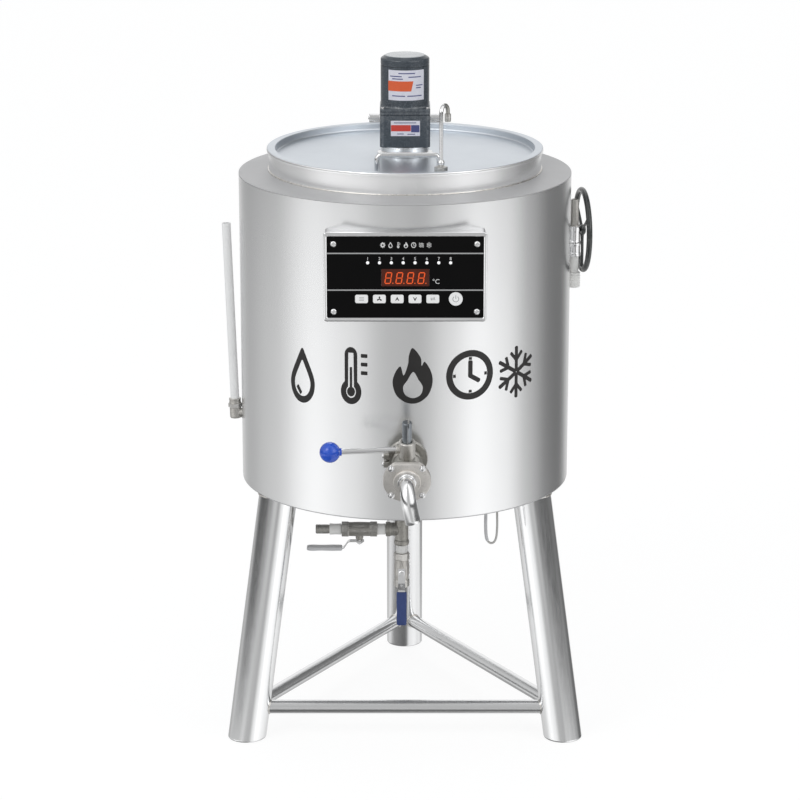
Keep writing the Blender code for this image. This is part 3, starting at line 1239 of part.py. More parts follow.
def outlet_lever(hole_radius):
    """The drilled ball with its slotted stem, the lever on it and the round grip."""
    mesh = ball_mesh("outlet_ball", VALVE_BALL_RADIUS, GRIP_RINGS)
    ball = piece("outlet_ball", mesh, "polished_steel", LEVER_AXIS)
    stem = solid_rod("outlet_stem", STEM_RADIUS, 0, STEM_TOP, FITTING_FACETS)
    weld(ball, helper("outlet_stem", stem, LEVER_AXIS))
    reach = VALVE_BALL_RADIUS + OVERRUN
    way = solid_rod("ball_way", VALVE_BALL_BORE, -reach, reach, FITTING_FACETS)
    slot = block(
        "stem_slot",
        (-STEM_SLOT_WIDTH / 2, -STEM_RADIUS - OVERRUN, STEM_TOP - STEM_SLOT_DEPTH),
        (STEM_SLOT_WIDTH / 2, STEM_RADIUS + OVERRUN, STEM_TOP + OVERRUN),
    )
    cut(ball, helper("ball_way", way, LEVER_AXIS, turn=RIGHTWARD))
    cut(ball, helper("stem_slot", slot, LEVER_AXIS))

    mesh = solid_rod("outlet_lever", HUB_RADIUS, VALVE_NECK_TOP, HUB_TOP, FITTING_FACETS)
    lever = piece("outlet_lever", mesh, "polished_steel", LEVER_AXIS)
    outward = (0, -math.pi / 2, LEVER_YAW)
    level = (0, 0, LEVER_HEIGHT)
    boss = solid_rod("lever_boss", LEVER_BOSS_RADIUS, 0, LEVER_BOSS_REACH, FITTING_FACETS)
    rod_end = GRIP_DISTANCE - GRIP_NECK_REACH + GRIP_SOCKET_DEPTH - GAP
    rod = solid_rod("lever_rod", LEVER_ROD, 0, rod_end, FITTING_FACETS)
    weld(lever, helper("lever_boss", boss, LEVER_AXIS, level, outward))
    weld(lever, helper("lever_rod", rod, LEVER_AXIS, level, outward))
    hole = solid_rod("hub_hole", hole_radius, VALVE_NECK_TOP - OVERRUN, HUB_TOP + OVERRUN, FITTING_FACETS)
    cut(lever, helper("hub_hole", hole, LEVER_AXIS))

    mouth = GRIP_DISTANCE - GRIP_NECK_REACH
    socket = LEVER_ROD + GAP
    first = math.asin(GRIP_NECK_RADIUS / GRIP_RADIUS)
    profile = [(0, mouth + GRIP_SOCKET_DEPTH), (socket, mouth + GRIP_SOCKET_DEPTH)]
    profile += [(socket, mouth), (GRIP_NECK_RADIUS, mouth)]
    for step in range(GRIP_RINGS):
        angle = first + (math.pi - first) * step / GRIP_RINGS
        profile.append((GRIP_RADIUS * math.sin(angle), GRIP_DISTANCE - GRIP_RADIUS * math.cos(angle)))
    profile.append((0, GRIP_DISTANCE + GRIP_RADIUS))
    mesh = turned("lever_grip", profile, FITTING_FACETS)
    piece("lever_grip", mesh, "blue_plastic", LEVER_AXIS, level, outward)


def front_flange():
    """The front flange: a disc with a flat that lets the lever pass, a boss and four bolt heads."""
    back = VALVE_BODY_LENGTH
    front = back + FRONT_FLANGE_THICKNESS
    profile = [
        (SPOUT_BORE, back),
        (FRONT_FLANGE_RADIUS, back),
        (FRONT_FLANGE_RADIUS, front),
        (FRONT_BOSS_RADIUS, front),
        (FRONT_BOSS_RADIUS, front + FRONT_BOSS_HEIGHT),
        (SPOUT_BORE, front + FRONT_BOSS_HEIGHT),
    ]
    mesh = turned("outlet_flange", profile, 2 * FITTING_FACETS)
    flange = piece("outlet_flange", mesh, "cast_steel", OUTLET, turn=FORWARD)
    for index, (side, level) in enumerate(((-1, 1), (1, 1), (-1, -1), (1, -1))):
        name = f"flange_bolt_{index}"
        bolt = solid_rod(name, FLANGE_BOLT_RADIUS, front - OVERRUN, front + FLANGE_BOLT_HEAD, 8)
        place = (side * FLANGE_BOLT_OFFSET, 0, level * FLANGE_BOLT_OFFSET)
        weld(flange, helper(name, bolt, OUTLET, place, FORWARD))
    wide = FRONT_FLANGE_RADIUS + OVERRUN
    flat = block(
        "flange_flat",
        (-wide, -front - FLANGE_BOLT_HEAD - OVERRUN, FRONT_FLANGE_FLAT),
        (wide, -back + OVERRUN, wide),
    )
    cut(flange, helper("flange_flat", flat, OUTLET))


def spout():
    """A tube that bends from the flange down to the vertical, with a collar at its root."""
    start = SPOUT_ROOT
    level = SPOUT_LIFT
    centre = (0, SPOUT_BEND_START, level - SPOUT_BEND)
    path = [Vector((0, start, level)), Vector((0, SPOUT_BEND_START, level))]
    path += arc(centre, (0, 0, 1), (0, -1, 0), SPOUT_BEND, SPOUT_TURN, SPOUT_BEND_STEPS)[1:]
    path.append(SPOUT_END)
    for order, point in enumerate(path):
        point.x = SPOUT_DRIFT * (order / (len(path) - 1)) ** 2
    mesh = swept("spout", path, SPOUT_RADIUS, FITTING_FACETS, SPOUT_BORE)
    made = piece("spout", mesh, "polished_steel", OUTLET)
    collar_end = start - SPOUT_COLLAR_LENGTH
    inner = (SPOUT_RADIUS + SPOUT_BORE) / 2
    collar = ring("spout_collar", SPOUT_COLLAR_RADIUS, inner, -start, -collar_end, FITTING_FACETS)
    weld(made, helper("spout_collar", collar, OUTLET, (0, 0, level), FORWARD))


def level_gauge():
    """Elbow on the jacket's side and the leaning white tube that stands in it."""
    start = JACKET_RADIUS + LEVEL_ELBOW_X
    mesh = solid_rod("level_elbow", LEVEL_STUB_RADIUS, 0, -LEVEL_ELBOW_X - JACKET_RADIUS, FITTING_FACETS)
    elbow = piece("level_elbow", mesh, "cast_steel", MACHINE, (LEVEL_ELBOW_X, 0, LEVEL_ELBOW_Z), RIGHTWARD)
    lean = (0, -LEVEL_LEAN, 0)
    foot = LEVEL_ELBOW_Z - LEVEL_STUB_RADIUS
    height = LEVEL_SOCKET_TOP_Z - foot
    socket = solid_rod("level_socket", LEVEL_SOCKET_RADIUS, 0, height, FITTING_FACETS)
    weld(elbow, helper("level_socket", socket, MACHINE, (LEVEL_ELBOW_X, 0, foot), lean))
    pocket_radius = (LEVEL_TUBE_RADIUS + GAP) / math.cos(math.pi / FITTING_FACETS)
    pocket_foot = height - LEVEL_SOCKET_DEPTH
    pocket = solid_rod("level_pocket", pocket_radius, pocket_foot, height + OVERRUN, FITTING_FACETS)
    drop = solid_rod("level_drop", LEVEL_WATERWAY, LEVEL_STUB_RADIUS, height, ROD_FACETS)
    way = solid_rod("level_way", LEVEL_WATERWAY, 0, OVERRUN - start, ROD_FACETS)
    cut(elbow, helper("level_pocket", pocket, MACHINE, (LEVEL_ELBOW_X, 0, foot), lean))
    cut(elbow, helper("level_drop", drop, MACHINE, (LEVEL_ELBOW_X, 0, foot), lean))
    cut(elbow, helper("level_way", way, MACHINE, (LEVEL_ELBOW_X, 0, LEVEL_ELBOW_Z), RIGHTWARD))

    length = (LEVEL_TUBE_TOP_Z - foot) / math.cos(LEVEL_LEAN)
    mesh = ring("level_tube", LEVEL_TUBE_RADIUS, LEVEL_TUBE_BORE, pocket_foot + GAP, length, FITTING_FACETS)
    piece("level_tube", mesh, "white_tube", MACHINE, (LEVEL_ELBOW_X, 0, foot), lean)


def inlet_valve():
    """Valve body with its stub into the tank and its riser, the ribbed nipple and the handwheel."""
    profile = [
        (INLET_BORE, INLET_BOTTOM_Z),
        (INLET_BARREL_RADIUS, INLET_BOTTOM_Z),
        (INLET_BARREL_RADIUS, INLET_TOP_Z),
        (RISER_RADIUS, INLET_TOP_Z),
        (RISER_RADIUS, RISER_TOP_Z),
        (INLET_BORE, RISER_TOP_Z),
    ]
    mesh = turned("inlet_body", profile, FITTING_FACETS)
    body = piece("inlet_body", mesh, "polished_steel", INLET_SIDE, (INLET_X, 0, 0))
    reach = INLET_X - JACKET_RADIUS
    stub = solid_rod("inlet_stub", INLET_STUB_RADIUS, INLET_BORE, reach, FITTING_FACETS)
    way = solid_rod("inlet_way", INLET_BORE, 0, reach + OVERRUN, ROD_FACETS)
    hole_radius = (SPINDLE_RADIUS + GAP) / math.cos(math.pi / ROD_FACETS)
    hole = solid_rod("spindle_hole", hole_radius, 0, INLET_BARREL_RADIUS + OVERRUN, ROD_FACETS)
    seat = (INLET_X, 0, INLET_STUB_Z)
    weld(body, helper("inlet_stub", stub, INLET_SIDE, seat, LEFTWARD))
    cut(body, helper("inlet_way", way, INLET_SIDE, seat, LEFTWARD))
    cut(body, helper("spindle_hole", hole, INLET_SIDE, (INLET_X, 0, WHEEL_Z), RIGHTWARD))

    top = INLET_BOTTOM_Z - GAP
    pitch = (NIPPLE_NECK_BOTTOM_Z - NIPPLE_BOTTOM_Z) / NIPPLE_RIBS
    profile = [(INLET_BORE, top), (NIPPLE_NECK_RADIUS, top), (NIPPLE_NECK_RADIUS, NIPPLE_NECK_BOTTOM_Z)]
    for rib in range(NIPPLE_RIBS):
        level = NIPPLE_NECK_BOTTOM_Z - pitch * rib
        profile += [
            (NIPPLE_THREAD_RADIUS - NIPPLE_RIB_DEPTH, level),
            (NIPPLE_THREAD_RADIUS, level - pitch / 3),
            (NIPPLE_THREAD_RADIUS, level - 2 * pitch / 3),
        ]
    profile += [(NIPPLE_THREAD_RADIUS - NIPPLE_RIB_DEPTH, NIPPLE_BOTTOM_Z), (INLET_BORE, NIPPLE_BOTTOM_Z)]
    mesh = turned("inlet_nipple", profile, FITTING_FACETS)
    piece("inlet_nipple", mesh, "cast_steel", INLET_SIDE, (INLET_X, 0, 0))
    handwheel()


def handwheel():
    """A round rim on three spokes, with the spindle that enters the valve."""
    rim = []
    for step in range(WHEEL_RIM_FACETS):
        angle = math.tau * step / WHEEL_RIM_FACETS
        radius = WHEEL_RING_RADIUS + WHEEL_RIM_RADIUS * math.cos(angle)
        rim.append((radius, WHEEL_X + WHEEL_RIM_RADIUS * math.sin(angle)))
    mesh = turned("handwheel", rim, WHEEL_FACETS)
    wheel = piece("handwheel", mesh, "dark_wheel", WHEEL_AXIS, turn=RIGHTWARD)
    profile = [
        (0, SPINDLE_END_X),
        (SPINDLE_RADIUS, SPINDLE_END_X),
        (SPINDLE_RADIUS, WHEEL_HUB_BACK_X),
        (WHEEL_HUB_RADIUS, WHEEL_HUB_BACK_X),
        (WHEEL_HUB_RADIUS, WHEEL_HUB_FRONT_X - WHEEL_SPOKE_RADIUS / 2),
        (WHEEL_HUB_RADIUS - WHEEL_SPOKE_RADIUS, WHEEL_HUB_FRONT_X),
        (0, WHEEL_HUB_FRONT_X),
    ]
    hub = turned("wheel_hub", profile, FITTING_FACETS)
    weld(wheel, helper("wheel_hub", hub, WHEEL_AXIS, turn=RIGHTWARD))
    for index in range(WHEEL_SPOKES):
        name = f"wheel_spoke_{index}"
        spoke = solid_rod(name, WHEEL_SPOKE_RADIUS, WHEEL_HUB_RADIUS / 2, WHEEL_RING_RADIUS, ROD_FACETS)
        turn = (math.tau * (index + 0.5) / WHEEL_SPOKES, 0, 0)
        weld(wheel, helper(name, spoke, WHEEL_AXIS, (WHEEL_X, 0, 0), turn))


def small_valve(label, place, turn, tail):
    """A ball valve along its own X, its stem along its own Z, the lever lying back along X."""
    frame = empty(label + "_frame", MACHINE, place, turn)
    lever_axis = empty(label + "_lever_axis", frame, (SMALL_VALVE_LENGTH / 2, 0, 0))
    length = SMALL_VALVE_LENGTH
    collar = SMALL_COLLAR_LENGTH
    socket = DRAIN_NIPPLE_RADIUS + GAP
    profile = [
        (socket, 0),
        (SMALL_VALVE_COLLAR, 0),
        (SMALL_VALVE_COLLAR, collar),
        (SMALL_VALVE_WAIST, collar),
        (SMALL_VALVE_WAIST, length - collar),
        (SMALL_VALVE_COLLAR, length - collar),
        (SMALL_VALVE_COLLAR, length),
    ]
    if tail:
        profile += [(SIDE_TAIL_RADIUS, length), (SIDE_TAIL_RADIUS, length + tail), (DRAIN_BORE, length + tail)]
    else:
        profile += [(socket, length), (socket, length - SOCKET_DEPTH), (DRAIN_BORE, length - SOCKET_DEPTH)]
    profile += [(DRAIN_BORE, SOCKET_DEPTH), (socket, SOCKET_DEPTH)]
    mesh = turned(label + "_body", profile, FITTING_FACETS)
    body = piece(label + "_body", mesh, "cast_steel", frame, turn=RIGHTWARD)
    middle = (length / 2, 0, 0)
    neck = solid_rod(label + "_neck", SMALL_NECK_RADIUS, SMALL_BALL_RADIUS, SMALL_NECK_TOP, FITTING_FACETS)
    cavity = ball_mesh(label + "_cavity", SMALL_CAVITY_RADIUS, GRIP_RINGS)
    hole_radius = (SMALL_STEM_RADIUS + GAP) / math.cos(math.pi / ROD_FACETS)
    hole = solid_rod(label + "_stem_hole", hole_radius, 0, SMALL_NECK_TOP + OVERRUN, ROD_FACETS)
    weld(body, helper(label + "_neck", neck, frame, middle))
    cut(body, helper(label + "_cavity", cavity, frame, middle))
    cut(body, helper(label + "_stem_hole", hole, frame, middle))

    mesh = ball_mesh(label + "_ball", SMALL_BALL_RADIUS, GRIP_RINGS)
    ball = piece(label + "_ball", mesh, "polished_steel", lever_axis)
    stem = solid_rod(label + "_stem", SMALL_STEM_RADIUS, 0, SMALL_STEM_TOP, ROD_FACETS)
    nut_foot = STRIP_HEIGHT + STRIP_SHEET + GAP
    nut = solid_rod(label + "_nut", SMALL_NUT_RADIUS, nut_foot, nut_foot + SMALL_NUT_HEIGHT, 6)
    reach = SMALL_BALL_RADIUS + OVERRUN
    way = solid_rod(label + "_ball_way", DRAIN_BORE, -reach, reach, FITTING_FACETS)
    weld(ball, helper(label + "_stem", stem, lever_axis), helper(label + "_nut", nut, lever_axis))
    cut(ball, helper(label + "_ball_way", way, lever_axis, turn=RIGHTWARD))
    strip_lever(label, lever_axis, hole_radius)


def strip_lever(label, lever_axis, hole_radius):
    """A cranked steel strip with a vinyl sleeve over its end."""
    low = STRIP_HEIGHT
    high = STRIP_GRIP_HEIGHT
    lower = [(-STRIP_HEAD_REACH, low), (STRIP_BEND_START, low), (STRIP_BEND_END, high), (STRIP_END, high)]
    upper = [(x, level + STRIP_SHEET) for x, level in reversed(lower)]
    half = STRIP_WIDTH / 2
    rings = [[Vector((x, side, level)) for x, level in lower + upper] for side in (-half, half)]
    strip = piece(label + "_lever", lofted(label + "_lever", rings), "polished_steel", lever_axis)
    hole = solid_rod(label + "_strip_hole", hole_radius, low - OVERRUN, low + STRIP_SHEET + OVERRUN, ROD_FACETS)
    cut(strip, helper(label + "_strip_hole", hole, lever_axis))

    centre = high + STRIP_SHEET / 2
    outline = rounded_outline(SLEEVE_THICKNESS, SLEEVE_WIDTH, SLEEVE_CORNER, PANEL_CORNER_STEPS)
    mesh = slab(label + "_sleeve", outline, SLEEVE_START, SLEEVE_END)
    finish = "blue_vinyl" if label == "drain_valve" else "grey_vinyl"
    sleeve = piece(label + "_sleeve", mesh, finish, lever_axis, (0, 0, centre), RIGHTWARD)
    pocket = block(
        label + "_pocket",
        (SLEEVE_START - OVERRUN, -half - GAP, high - GAP),
        (STRIP_END + GAP, half + GAP, high + STRIP_SHEET + GAP),
    )
    cut(sleeve, helper(label + "_pocket", pocket, lever_axis))


def drain():
    """The tee below the jacket and its two ball valves, one to the left and one down."""
    nipple = DRAIN_NIPPLE_RADIUS
    profile = [
        (0, DRAIN_Z - TEE_REACH - DRAIN_NIPPLE_LENGTH),
        (nipple, DRAIN_Z - TEE_REACH - DRAIN_NIPPLE_LENGTH),
        (nipple, DRAIN_Z - TEE_REACH),
        (TEE_RADIUS, DRAIN_Z - TEE_REACH),
        (TEE_RADIUS, DRAIN_Z + TEE_REACH),
        (DRAIN_PIPE_RADIUS, DRAIN_Z + TEE_REACH),
        (DRAIN_PIPE_RADIUS, JACKET_FLOOR_Z + JACKET_SHEET),
        (0, JACKET_FLOOR_Z + JACKET_SHEET),
    ]
    place = (DRAIN_X, DRAIN_Y, 0)
    tee = piece("drain_tee", turned("drain_tee", profile, FITTING_FACETS), "cast_steel", MACHINE, place)
    profile = [
        (0, 0),
        (TEE_RADIUS, 0),
        (TEE_RADIUS, TEE_REACH),
        (nipple, TEE_REACH),
        (nipple, TEE_REACH + DRAIN_NIPPLE_LENGTH),
        (0, TEE_REACH + DRAIN_NIPPLE_LENGTH),
    ]
    crossing = (DRAIN_X, DRAIN_Y, DRAIN_Z)
    branch = turned("tee_branch", profile, FITTING_FACETS)
    weld(tee, helper("tee_branch", branch, MACHINE, crossing, LEFTWARD))
    down_reach = TEE_REACH + DRAIN_NIPPLE_LENGTH + OVERRUN
    way = solid_rod("tee_way", DRAIN_BORE, -down_reach, JACKET_FLOOR_Z + OVERRUN - DRAIN_Z, ROD_FACETS)
    side_way = solid_rod("tee_side_way", DRAIN_BORE, 0, down_reach, ROD_FACETS)
    cut(tee, helper("tee_way", way, MACHINE, crossing))
    cut(tee, helper("tee_side_way", side_way, MACHINE, crossing, LEFTWARD))

    socket_at = TEE_REACH + DRAIN_NIPPLE_LENGTH - SOCKET_DEPTH + GAP
    side_place = (DRAIN_X - socket_at, DRAIN_Y, DRAIN_Z)
    down_place = (DRAIN_X, DRAIN_Y, DRAIN_Z - socket_at)
    small_valve("side_valve", side_place, (0, math.pi, 0), SIDE_TAIL_LENGTH)
    small_valve("drain_valve", down_place, (0, math.pi / 2, -math.pi / 2), 0)


def sensor_lead():
    """A thin lead that leaves the bottom plate, dips and goes back into it."""
    data = bpy.data.curves.new("sensor_lead", "CURVE")
    data.dimensions = "3D"
    data.bevel_depth = LEAD_RADIUS
    data.bevel_resolution = 2
    data.use_fill_caps = True
    route = [Vector(point) for point in LEAD_ROUTE]
    points = []
    for index in range(len(route) - 1):
        before = route[max(index - 1, 0)]
        start = route[index]
        end = route[index + 1]
        after = route[min(index + 2, len(route) - 1)]
        for step in range(LEAD_STEPS):
            share = step / LEAD_STEPS
            points.append(smooth_point(before, start, end, after, share))
    points.append(route[-1])
    line = data.splines.new("POLY")
    line.points.add(len(points) - 1)
    for place, point in zip(line.points, points):
        place.co = (*point, 1.0)
    made = bpy.data.objects.new("sensor_lead", data)
    bpy.context.scene.collection.objects.link(made)
    data.materials.append(finish_material("cable_jacket"))
    made.parent = MACHINE


def smooth_point(before, start, end, after, share):
    """A point of the smooth curve through four neighbours, between the middle two."""
    rise = (end - before) / 2
    fall = (after - start) / 2
    square = share * share
    cube = square * share
    return (
        (2 * cube - 3 * square + 1) * start
        + (cube - 2 * square + share) * rise
        + (3 * square - 2 * cube) * end
        + (cube - square) * fall
    )


tank_shell()
pot()
jacket()
stand()
control_box()
lid()
hinge()
stirrer_drive()
outlet_valve()
level_gauge()
inlet_valve()
drain()
sensor_lead()
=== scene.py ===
import math

import bmesh
import bpy
from mathutils import Matrix, Vector


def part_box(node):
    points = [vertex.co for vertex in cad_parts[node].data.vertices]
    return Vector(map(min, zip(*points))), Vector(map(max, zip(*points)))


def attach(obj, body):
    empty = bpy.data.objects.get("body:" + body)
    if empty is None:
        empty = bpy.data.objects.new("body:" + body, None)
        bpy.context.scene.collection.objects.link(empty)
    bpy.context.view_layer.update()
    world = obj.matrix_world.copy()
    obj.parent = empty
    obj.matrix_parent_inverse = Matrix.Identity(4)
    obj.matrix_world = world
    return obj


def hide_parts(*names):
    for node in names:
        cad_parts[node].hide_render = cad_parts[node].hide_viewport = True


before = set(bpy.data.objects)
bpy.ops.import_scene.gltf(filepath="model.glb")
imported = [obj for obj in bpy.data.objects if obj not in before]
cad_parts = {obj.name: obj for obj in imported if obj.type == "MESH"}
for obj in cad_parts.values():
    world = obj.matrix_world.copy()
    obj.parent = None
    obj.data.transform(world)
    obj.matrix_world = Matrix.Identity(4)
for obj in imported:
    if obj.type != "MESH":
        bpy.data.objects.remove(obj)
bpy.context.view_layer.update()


def turn(degrees, axis):
    return Matrix.Rotation(math.radians(degrees), 4, axis)


def shift(x, y, z):
    return Matrix.Translation((x, y, z))


def pick(sizes, names):
    return (sizes[name] for name in names.split())


# ---- frames that the pieces are drawn in ---------------------------------------------------------

ringLow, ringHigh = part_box("shoulder_ring")
tank = shift(0, (ringLow.y + ringHigh.y) / 2, 0)  # the tank's own axis stands here
outlet = tank @ shift(0.003, -0.329, 0.581) @ turn(15, "X")  # forward is -Y, the stem goes up Z
lever = outlet @ shift(0, -0.032, 0)
inletSide = tank @ turn(7, "Z")
panel = tank @ shift(0, 0, 0.904) @ turn(90, "X")  # X right, Y up, Z out of the wall
sideValve = tank @ shift(-0.0508, -0.1, 0.379) @ turn(180, "Y")
drainValve = tank @ shift(-0.006, -0.1, 0.3342) @ turn(-90, "Z") @ turn(90, "Y")
forward, backward, rightward, leftward = turn(90, "X"), turn(-90, "X"), turn(90, "Y"), turn(-90, "Y")

# ---- camera, light and floor ---------------------------------------------------------------------

photoView = {"place": (-0.009, -5.3 + 0.039185, 2.089), "tilt": 90 - 15.73, "lens": 134.4, "reach": 60}

studio = {
    "even": 0.72,
    "gloss": 1.62,
    "keyPower": 26,
    "fillPower": 9,
    "floor": 0.8,
    "floorHalf": 16,
    "paperGlow": 1.1,
    "glowShare": 0.8,
    # what metal sees round the machine: degrees to the right of the camera, and how light it is there
    "eyeLevel": [(-180, 0.66), (-142, 0.31), (-104, 0.46), (-66, 0.89), (-38, 0.72), (-10, 0.33), (8, 0.34),
                 (30, 0.67), (50, 0.93), (74, 0.76), (96, 0.35), (118, 0.12), (140, 0.1), (162, 0.5),
                 (180, 0.66)],
    # just above it, below it and straight down, which the leaning legs show
    "above": [(-180, 0.66), (-150, 0.16), (-106, 0.05), (-67, 0.06), (-35, 0.2), (-6, 0.45), (17, 0.1),
              (47, 0.05), (81, 0.07), (130, 0.14), (160, 0.56), (180, 0.66)],
    "below": [(-180, 0.5), (-150, 0.45), (-104, 0.6), (-66, 0.85), (-20, 0.55), (20, 0.55), (60, 0.8),
              (100, 0.72), (150, 0.5), (180, 0.5)],
    "down": [(-180, 0.3), (-60, 0.14), (0, 0.1), (12, 0.14), (34, 0.62), (70, 0.7), (120, 0.4), (180, 0.3)],
    # height at which one passes into the next
    "levels": [("below", -0.5, -0.44), ("eyeLevel", -0.41, -0.34), ("above", -0.2, -0.14),
               ("eyeLevel", 0.02, 0.14)],
}


def placed(name, data):
    made = bpy.data.objects.new(name, data)
    bpy.context.scene.collection.objects.link(made)
    return made


def wire(tree, made, sockets):
    # a socket takes a plain value, an output, or a node, which stands for its first output
    for label, value in sockets.items():
        if isinstance(value, bpy.types.Node):
            value = value.outputs[0]
        if isinstance(value, bpy.types.NodeSocket):
            tree.links.new(value, made.inputs[label])
        else:
            made.inputs[label].default_value = value
    return made


def node(tree, kind, sockets=None, **settings):
    made = tree.nodes.new(kind if kind.startswith("Geometry") else "ShaderNode" + kind)
    for label, value in settings.items():
        setattr(made, label, value)
    return wire(tree, made, sockets or {})


def sumOf(tree, operation, first, second):
    return node(tree, "Math", {0: first, 1: second}, operation=operation)


def ranged(tree, value, low, high, fromLow=0.0, fromHigh=1.0):
    return node(tree, "MapRange",
                {"Value": value, "From Min": fromLow, "From Max": fromHigh, "To Min": low, "To Max": high})


def mixColour(tree, mask, first, second):
    first, second = ((*value, 1) if isinstance(value, tuple) else value for value in (first, second))
    return node(tree, "Mix", {0: mask, 6: first, 7: second}, data_type="RGBA").outputs[2]


def seenDirectly(tree):
    path = node(tree, "LightPath").outputs
    return path, sumOf(tree, "MAXIMUM", path["Is Camera Ray"], path["Is Transmission Ray"])


def buildCamera():
    data = bpy.data.cameras.new("photoCamera")
    data.lens, data.clip_end = photoView["lens"], photoView["reach"]
    camera = placed("photoCamera", data)
    camera.location = photoView["place"]
    camera.rotation_euler = (math.radians(photoView["tilt"]), 0, 0)
    bpy.context.scene.camera = camera
    bpy.context.scene.view_settings.view_transform = "Standard"


def buildWorld():
    world = bpy.data.worlds.new("studioWorld")
    bpy.context.scene.world = world
    world.use_nodes = True
    tree = world.node_tree
    tree.nodes.clear()
    way = node(tree, "SeparateXYZ", {0: node(tree, "TexCoord").outputs["Generated"]}).outputs
    around = sumOf(tree, "ARCTAN2", way["X"], sumOf(tree, "MULTIPLY", way["Y"], -1))
    share = ranged(tree, around, 0, 1, -math.pi, math.pi)

    def rampOf(stops):
        ramp = node(tree, "ValToRGB", {0: share})
        ramp.color_ramp.interpolation = "EASE"
        marks = ramp.color_ramp.elements
        for degrees, light in stops[1:-1]:
            marks.new((degrees + 180) / 360).color = (light, light, light, 1)
        for mark, (degrees, light) in ((marks[0], stops[0]), (marks[len(marks) - 1], stops[-1])):
            mark.color = (light, light, light, 1)
        return ramp.outputs[0]

    seenRoom = rampOf(studio["down"])
    for label, low, high in studio["levels"]:
        slope = node(tree, "MapRange", {"Value": way["Z"], "From Min": low, "From Max": high},
                     interpolation_type="SMOOTHSTEP")
        seenRoom = mixColour(tree, slope, seenRoom, rampOf(studio[label]))
    gloss = node(tree, "Background", {"Color": seenRoom, "Strength": studio["gloss"]})
    even = node(tree, "Background", {"Color": (0.97, 0.985, 1, 1), "Strength": studio["even"]})
    white = node(tree, "Background", {"Color": (1, 1, 1, 1)})
    path, seen = seenDirectly(tree)
    forGloss = node(tree, "MixShader", {0: path["Is Glossy Ray"], 1: even, 2: gloss})
    node(tree, "OutputWorld", {0: node(tree, "MixShader", {0: seen, 1: forGloss, 2: white})})


def addLamp(name, place, aim, size, power):
    data = bpy.data.lights.new(name, "AREA")
    data.shape = "RECTANGLE"
    data.size = data.size_y = size
    data.energy = power
    lamp = placed(name, data)
    lamp.location = place
    lamp.rotation_euler = (Vector(aim) - Vector(place)).to_track_quat("-Z", "Y").to_euler()


def buildFloor():
    form = bmesh.new()
    half = studio["floorHalf"]
    corners = ((-half, -half), (half, -half), (half, half), (-half, half))
    form.faces.new([form.verts.new((x, y, -0.0005)) for x, y in corners])
    data = bpy.data.meshes.new("studioFloor")
    form.to_mesh(data)
    form.free()
    floor = placed("studioFloor", data)
    material = bpy.data.materials.new("studioFloor")
    material.use_nodes = True
    tree = material.node_tree
    paper = wire(tree, tree.nodes["Principled BSDF"],
                 {"Base Color": (studio["floor"],) * 3 + (1,), "Roughness": 0.9})
    glow = node(tree, "Emission", {"Color": (1, 1, 1, 1), "Strength": studio["paperGlow"]})
    much = sumOf(tree, "MULTIPLY", seenDirectly(tree)[1], studio["glowShare"])
    wire(tree, tree.nodes["Material Output"],
         {"Surface": node(tree, "MixShader", {0: much, 1: paper, 2: glow})})
    data.materials.append(material)
    floor.visible_glossy = False  # steel walls mirror the room, not the paper they stand on


buildCamera()
buildWorld()
addLamp("keyLamp", (-2.2, -2.6, 3.4), (0, 0, 0.8), 1.6, studio["keyPower"])
addLamp("fillLamp", (2.6, -2.2, 2.2), (0, 0, 0.7), 1.4, studio["fillPower"])
buildFloor()
print("camera, light and floor are set")

# ---- finishes ------------------------------------------------------------------------------------


def newTree(name, kind, inputs, outputs):
    tree = bpy.data.node_groups.new(name, kind)
    for way, rows in (("INPUT", inputs), ("OUTPUT", outputs)):
        for label, sort, *value in rows:
            socket = tree.interface.new_socket(label, in_out=way, socket_type="NodeSocket" + sort)
            if value:
                socket.default_value = value[0]
    return tree, tree.nodes.new("NodeGroupInput").outputs, tree.nodes.new("NodeGroupOutput")


def shaderGroup(name, values, *outputs):
    rows = [("Vector", "Vector")] + [(label, "Float", value) for label, value in values.items()]
    return newTree(name, "ShaderNodeTree", rows, [(label, "Float") for label in outputs])


def noise(tree, vector, scale, detail=3.0, rough=0.55):
    return node(tree, "TexNoise", {"Vector": vector, "Scale": scale, "Detail": detail, "Roughness": rough})


def buildGrain():
    # lines of a brushed or turned surface, drawn out along the axis with the small scale
    tree, source, out = shaderGroup("brushedGrain", {"Contrast": 1.0}, "Mask", "Height")
    wide = noise(tree, source["Vector"], 0.35, 2, 0.5)
    fine = noise(tree, source["Vector"], 1.0, 4, 0.65)
    mixed = sumOf(tree, "ADD", sumOf(tree, "MULTIPLY", wide, 0.4), sumOf(tree, "MULTIPLY", fine, 0.6))
    strong = sumOf(tree, "MULTIPLY", sumOf(tree, "SUBTRACT", mixed, 0.5), source["Contrast"])
    wire(tree, out, {"Mask": sumOf(tree, "ADD", strong, 0.5), "Height": fine})


def buildSmudge():
    # soft uneven patches of handling and polish
    tree, source, out = shaderGroup("smudge", {"Scale": 6.0}, "Mask")
    patch = noise(tree, source["Vector"], source["Scale"], 5, 0.6)
    wire(tree, out, {"Mask": ranged(tree, patch, 0.0, 1.0, 0.32, 0.68)})


def buildSpeckle():
    # small grains, as in casting skin and hammered paint
    tree, source, out = shaderGroup("speckle", {"Scale": 300.0, "Level": 0.55}, "Mask", "Height")
    grain = noise(tree, source["Vector"], source["Scale"], 2, 0.5)
    above = sumOf(tree, "ADD", source["Level"], 0.12)
    wire(tree, out, {"Mask": ranged(tree, grain, 0.0, 1.0, source["Level"], above), "Height": grain})


